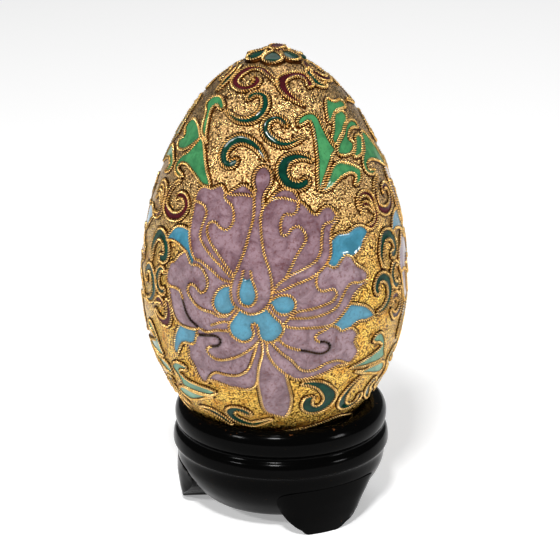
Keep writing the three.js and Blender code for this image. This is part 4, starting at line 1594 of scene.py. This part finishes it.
@dataclass
class Stand:
    """The turned bowl and its three bracket feet, in black lacquer.

    Args:
        offset: The stand's axis in X, in mm: it was turned a little off the egg's axis.
        outside: Radius and height up the outside, in mm.
        inside: Radius and height from the rim's lip down the dish, round the egg's axis.
        sides: Faces round the bowl.
        lip_width: Width over which the bowl goes over from its own axis to the egg's, in mm.
        chip_band: Height of the edge where the film chips, and how far the chips reach, in mm.
        foot_names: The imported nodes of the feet.
        foot_directions: Longitudes of the feet's middles, in degrees.
        foot_leans: How far round each sole stands from its foot's middle, in degrees.
        foot_half: Half a foot's outline, in degrees from its middle and mm of height.
        foot_scale: Millimetres in a unit of either, for the smooth line through it.
        foot_thinning: The outline keeps one in so many of the smooth line's points.
        foot_face: Height up a foot's front, and its radius there, in mm.
        foot_bevel: Width of the rounding along its edges, in mm.
        upright_cuts: Start, end and step of the cuts that let it bend, in degrees.
        level_cuts: The same of the cuts across its height, in mm.
        wing: Angles from its middle where its wings begin to thin out, and over how many
            degrees they do.
        wing_gap: How far a wing's tip stands out from the skirt, in mm.
        foot_sink: How far its back lies inside the skirt, in mm.
        least_depth: Its least thickness, in mm.
        sharp: Angle over which an edge is rounded, in radians.
        skirt_points: How many places of the outside make up the skirt.
    """

    offset: float = 1.2
    outside: Outline = (
        (14.2, 2.4), (15.3, 2.8), (16.8, 4.3), (18.5, 6.5), (19.7, 9), (20.1, 11.6),
        (20.3, 12.15), (20.6, 12.5), (20.65, 13.4), (20.35, 14.8), (19.75, 15.55),
        (19.62, 15.9), (20.05, 16.8), (20.25, 17.9), (20.15, 19.1), (19.6, 20.2),
        (18.8, 20.85), (18.1, 20.95))
    inside: Outline = (
        (17.45, 20.85), (17.15, 20.5), (16.6, 19.6), (15.3, 17.6), (13.6, 14.8), (11.8, 10.4),
        (10.0, 7.6), (8.0, 6.6), (5.0, 6.5), (0, 6.5))
    sides: int = 160
    lip_width: float = 0.6
    chip_band: Place = (20.6, 0.9)
    foot_names: tuple[str, str, str] = ("foot_front_right", "foot_rear_right", "foot_left")
    foot_directions: tuple[float, float, float] = (32, 151, -96)
    foot_leans: tuple[float, float, float] = (-7, 2, -1)
    foot_half: Outline = (
        (9, 0), (11.5, 0.35), (14, 1.1), (18.5, 2.0), (25, 3.6), (30, 5.4), (32.6, 7.2),
        (31.4, 8.4), (26, 9.0), (14, 9.3), (0, 9.4))
    foot_scale: Place = (0.35, 1.0)
    foot_thinning: int = 3
    foot_face: Outline = ((0, 18.9), (3, 19.6), (6.5, 20.05), (8.4, 19.95), (9.6, 19.85))
    foot_bevel: float = 0.45
    upright_cuts: tuple[float, float, float] = (-32.5, 33, 2.5)
    level_cuts: tuple[float, float, float] = (0.9, 9.4, 0.9)
    wing: Place = (15, 18)
    wing_gap: float = 0.12
    foot_sink: float = 0.3
    least_depth: float = 0.15
    sharp: float = 0.9
    skirt_points: int = 6

    def build(self) -> None:
        """Makes the bowl and the feet."""
        self.bowl()
        for name, direction, lean in zip(self.foot_names, self.foot_directions, self.foot_leans):
            self.foot(name, direction, lean)

    def bowl(self) -> None:
        """Turns the bowl, with its dish on the egg's axis."""
        ones = np.ones(2)
        outside = smooth_line(self.outside, False, ones)
        inside = smooth_line(self.inside, False, ones)
        radii = np.concatenate(([0.0], outside[:, 0], inside[:, 0]))
        heights = np.concatenate(([self.outside[0][1]], outside[:, 1], inside[:, 1]))
        radii[-1] = 0
        section = np.column_stack((radii + self.offset, np.zeros(len(radii)), heights)) * MM
        bm = spun(section, self.sides, self.offset * MM)
        edge = bm.verts.layers.float.new("edge")
        dish_rim = self.inside[0][0] + self.lip_width
        under_dish = self.inside[-1][1] - 0.1
        chip_height, chip_reach = self.chip_band
        for vert in bm.verts:
            radius = math.hypot(vert.co.x / MM - self.offset, vert.co.y / MM)
            height = vert.co.z / MM
            vert[edge] = max(0.0, 1 - abs(height - chip_height) / chip_reach)
            if radius < dish_rim and height > under_dish:
                share = min(max((dish_rim - radius) / self.lip_width, 0.0), 1.0)
                vert.co.x -= self.offset * MM * share
        mesh = finished_mesh(bm, "turned_bowl")
        deliver("turned_bowl", mesh, BLACK_LACQUER, Body.STAND, ["stand_bowl"])

    def foot(self, name: str, direction: float, lean: float) -> None:
        """Cuts one bracket foot and bends it round the bowl.

        Args:
            name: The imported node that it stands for.
            direction: Longitude of its middle, in degrees.
            lean: How far round its sole stands from its middle, in degrees.
        """
        right = smooth_line(self.foot_half, False, np.array(self.foot_scale))
        outline = np.vstack((right, right[-2::-1] * (-1, 1)))[::self.foot_thinning]
        outline = np.vstack((outline, (-self.foot_half[0][0], 0)))
        bm = bmesh.new()
        face = bm.faces.new([bm.verts.new((angle, 0, height)) for angle, height in outline])
        made = bmesh.ops.extrude_face_region(bm, geom=[face], use_keep_orig=True)
        backs = [item for item in made["geom"] if isinstance(item, bmesh.types.BMVert)]
        bmesh.ops.translate(bm, verts=backs, vec=(0, 1, 0))
        bmesh.ops.recalc_face_normals(bm, faces=bm.faces[:])
        for way, cuts in (((1, 0, 0), self.upright_cuts), ((0, 0, 1), self.level_cuts)):
            for at in np.arange(*cuts):
                bmesh.ops.bisect_plane(
                    bm, geom=bm.verts[:] + bm.edges[:] + bm.faces[:], plane_co=Vector(way) * at,
                    plane_no=way, dist=SAME_SPOT)
        bmesh.ops.triangulate(bm, faces=[f for f in bm.faces if len(f.verts) > 4])
        face_z, face_r = zip(*self.foot_face)
        skirt = sorted((height, radius) for radius, height in self.outside[:self.skirt_points])
        skirt_z, skirt_r = zip(*skirt)
        wing_start, wing_width = self.wing
        for vert in bm.verts:
            angle, depth, height = vert.co
            skirt_radius = np.interp(height, skirt_z, skirt_r)
            thinned = min(max((abs(angle) - wing_start) / wing_width, 0.0), 1.0) ** 2
            front = np.interp(height, face_z, face_r)
            front += (skirt_radius + self.wing_gap - front) * thinned
            back = min(skirt_radius - self.foot_sink, front - self.least_depth)
            radius = (front + (back - front) * depth) * MM
            turn = math.radians(direction + angle + lean * (1 - height / self.foot_half[-1][1]))
            vert.co = (self.offset * MM + radius * math.sin(turn), -radius * math.cos(turn),
                       height * MM)
        rims = [e for e in bm.edges if e.is_manifold and e.calc_face_angle() > self.sharp]
        bmesh.ops.bevel(bm, geom=rims, offset=self.foot_bevel * MM, affect="EDGES", segments=3,
                        profile=0.5, material=-1, clamp_overlap=True)
        bmesh.ops.recalc_face_normals(bm, faces=bm.faces[:])
        mesh = finished_mesh(bm, f"{name}_bracket")
        deliver(f"{name}_bracket", mesh, BLACK_LACQUER, Body.STAND, [name])


# ---- studio ----------------------------------------------------------------------------------


@dataclass(frozen=True)
class Softbox:
    """A flat, rectangular area light that faces the egg.

    Args:
        name: The light's name.
        azimuth: Longitude that it stands at, in degrees.
        elevation: Its height angle, in degrees.
        distance: Its distance from the egg's middle, in metres.
        size: Its width and height, in metres.
        power: Its power, in watts.
    """

    name: str
    azimuth: float
    elevation: float
    distance: float
    size: Place
    power: float

    def hang(self, target: Vector) -> None:
        """Adds the light, facing the target."""
        light = bpy.data.lights.new(self.name, "AREA")
        light.shape = "RECTANGLE"
        light.size, light.size_y = self.size
        light.energy = self.power
        lamp = placed(self.name, light)
        azimuth, elevation = math.radians(self.azimuth), math.radians(self.elevation)
        flat = math.cos(elevation)
        way = Vector((flat * math.sin(azimuth), -flat * math.cos(azimuth), math.sin(elevation)))
        lamp.location = target + way * self.distance
        lamp.rotation_euler = (-way).to_track_quat("-Z", "Y").to_euler()


@dataclass
class Studio:
    """The camera, the floor and the soft light round the object.

    Args:
        aim_height: Height that the camera and the lights are turned to, in mm.
        side_step: How far the camera stands to the right of the egg's axis, in mm.
        camera_distance: Its distance from the egg, in mm.
        elevation: Its height angle, in degrees.
        focal_length: Its focal length, in mm.
        sensor_width: Width of its sensor, in mm.
        floor_size: Width of the floor, in metres.
        surround: Strength of the white surround as the object sees it.
        softboxes: The lights.
    """

    aim_height: float = 44.1
    side_step: float = 1.05
    camera_distance: float = 400.0
    elevation: float = 19.3
    focal_length: float = 136.8
    sensor_width: float = 36.0
    floor_size: float = 6.0
    surround: float = 0.16
    softboxes: tuple[Softbox, ...] = (
        Softbox("front_key", -8, 50, 0.55, (0.08, 0.05), 2.2),
        Softbox("left_fill", -50, 32, 0.6, (0.1, 0.06), 1.3),
        Softbox("right_fill", 64, 14, 0.6, (0.12, 0.1), 1.3),
        Softbox("back_light", 170, 50, 0.8, (0.5, 0.4), 1.6),
    )

    def build(self) -> None:
        """Sets the stage, the light and the camera."""
        self.floor()
        self.light()
        self.camera()

    def floor(self) -> None:
        """Lays the pale floor."""
        bm = bmesh.new()
        bmesh.ops.create_grid(bm, x_segments=2, y_segments=2, size=self.floor_size / 2)
        floor = placed("floor", finished_mesh(bm, "floor"))
        floor.data.materials.append(STAGE_PAPER.material())

    def light(self) -> None:
        """Hangs the softboxes and sets the surround, dim to the object and white behind it."""
        target = Vector((0, 0, self.aim_height * MM))
        for softbox in self.softboxes:
            softbox.hang(target)
        world = bpy.data.worlds.new("studio")
        bpy.context.scene.world = world
        world.use_nodes = True
        tree = world.node_tree
        tree.nodes.clear()
        path = add_node(tree, "ShaderNodeLightPath")
        strength = add_node(tree, "ShaderNodeMapRange", {
            "To Min": self.surround, "To Max": 1.0,
        }, {"Value": path.outputs["Is Camera Ray"]})
        back = add_node(tree, "ShaderNodeBackground", {
            "Color": linear("#FFFFFF"),
        }, {"Strength": strength.outputs[0]})
        add_node(tree, "ShaderNodeOutputWorld", links={"Surface": back.outputs[0]})
        bpy.context.scene.view_settings.view_transform = "Standard"

    def camera(self) -> None:
        """Sets the camera a little above the egg, looking slightly down."""
        lens = bpy.data.cameras.new("camera")
        lens.lens = self.focal_length
        lens.sensor_width = self.sensor_width
        camera = placed("camera", lens)
        tilt = math.radians(self.elevation)
        camera.location = Vector((
            self.side_step, -self.camera_distance * math.cos(tilt),
            self.aim_height + self.camera_distance * math.sin(tilt))) * MM
        camera.rotation_euler = (math.pi / 2 - tilt, 0, 0)
        bpy.context.scene.camera = camera


def dress_copper() -> None:
    """Gives the copper halves under the ground their own metal."""
    for name in ("lower_shell", "upper_shell"):
        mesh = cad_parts[name].data
        mesh.materials.clear()
        mesh.materials.append(COPPER.material())
        LOG.info("%s: carried over with %s", name, COPPER.name)


def main() -> None:
    """Builds the studio, the stand and the egg."""
    logging.basicConfig(level=logging.INFO, format="%(name)s %(message)s")
    Studio().build()
    Stand().build()
    decoration = Decoration()
    decoration.build()
    Crown().build()
    Ground().build(decoration.wire_lines)
    WIRE.clear_section()
    dress_copper()


if __name__ == "__main__":
    main()
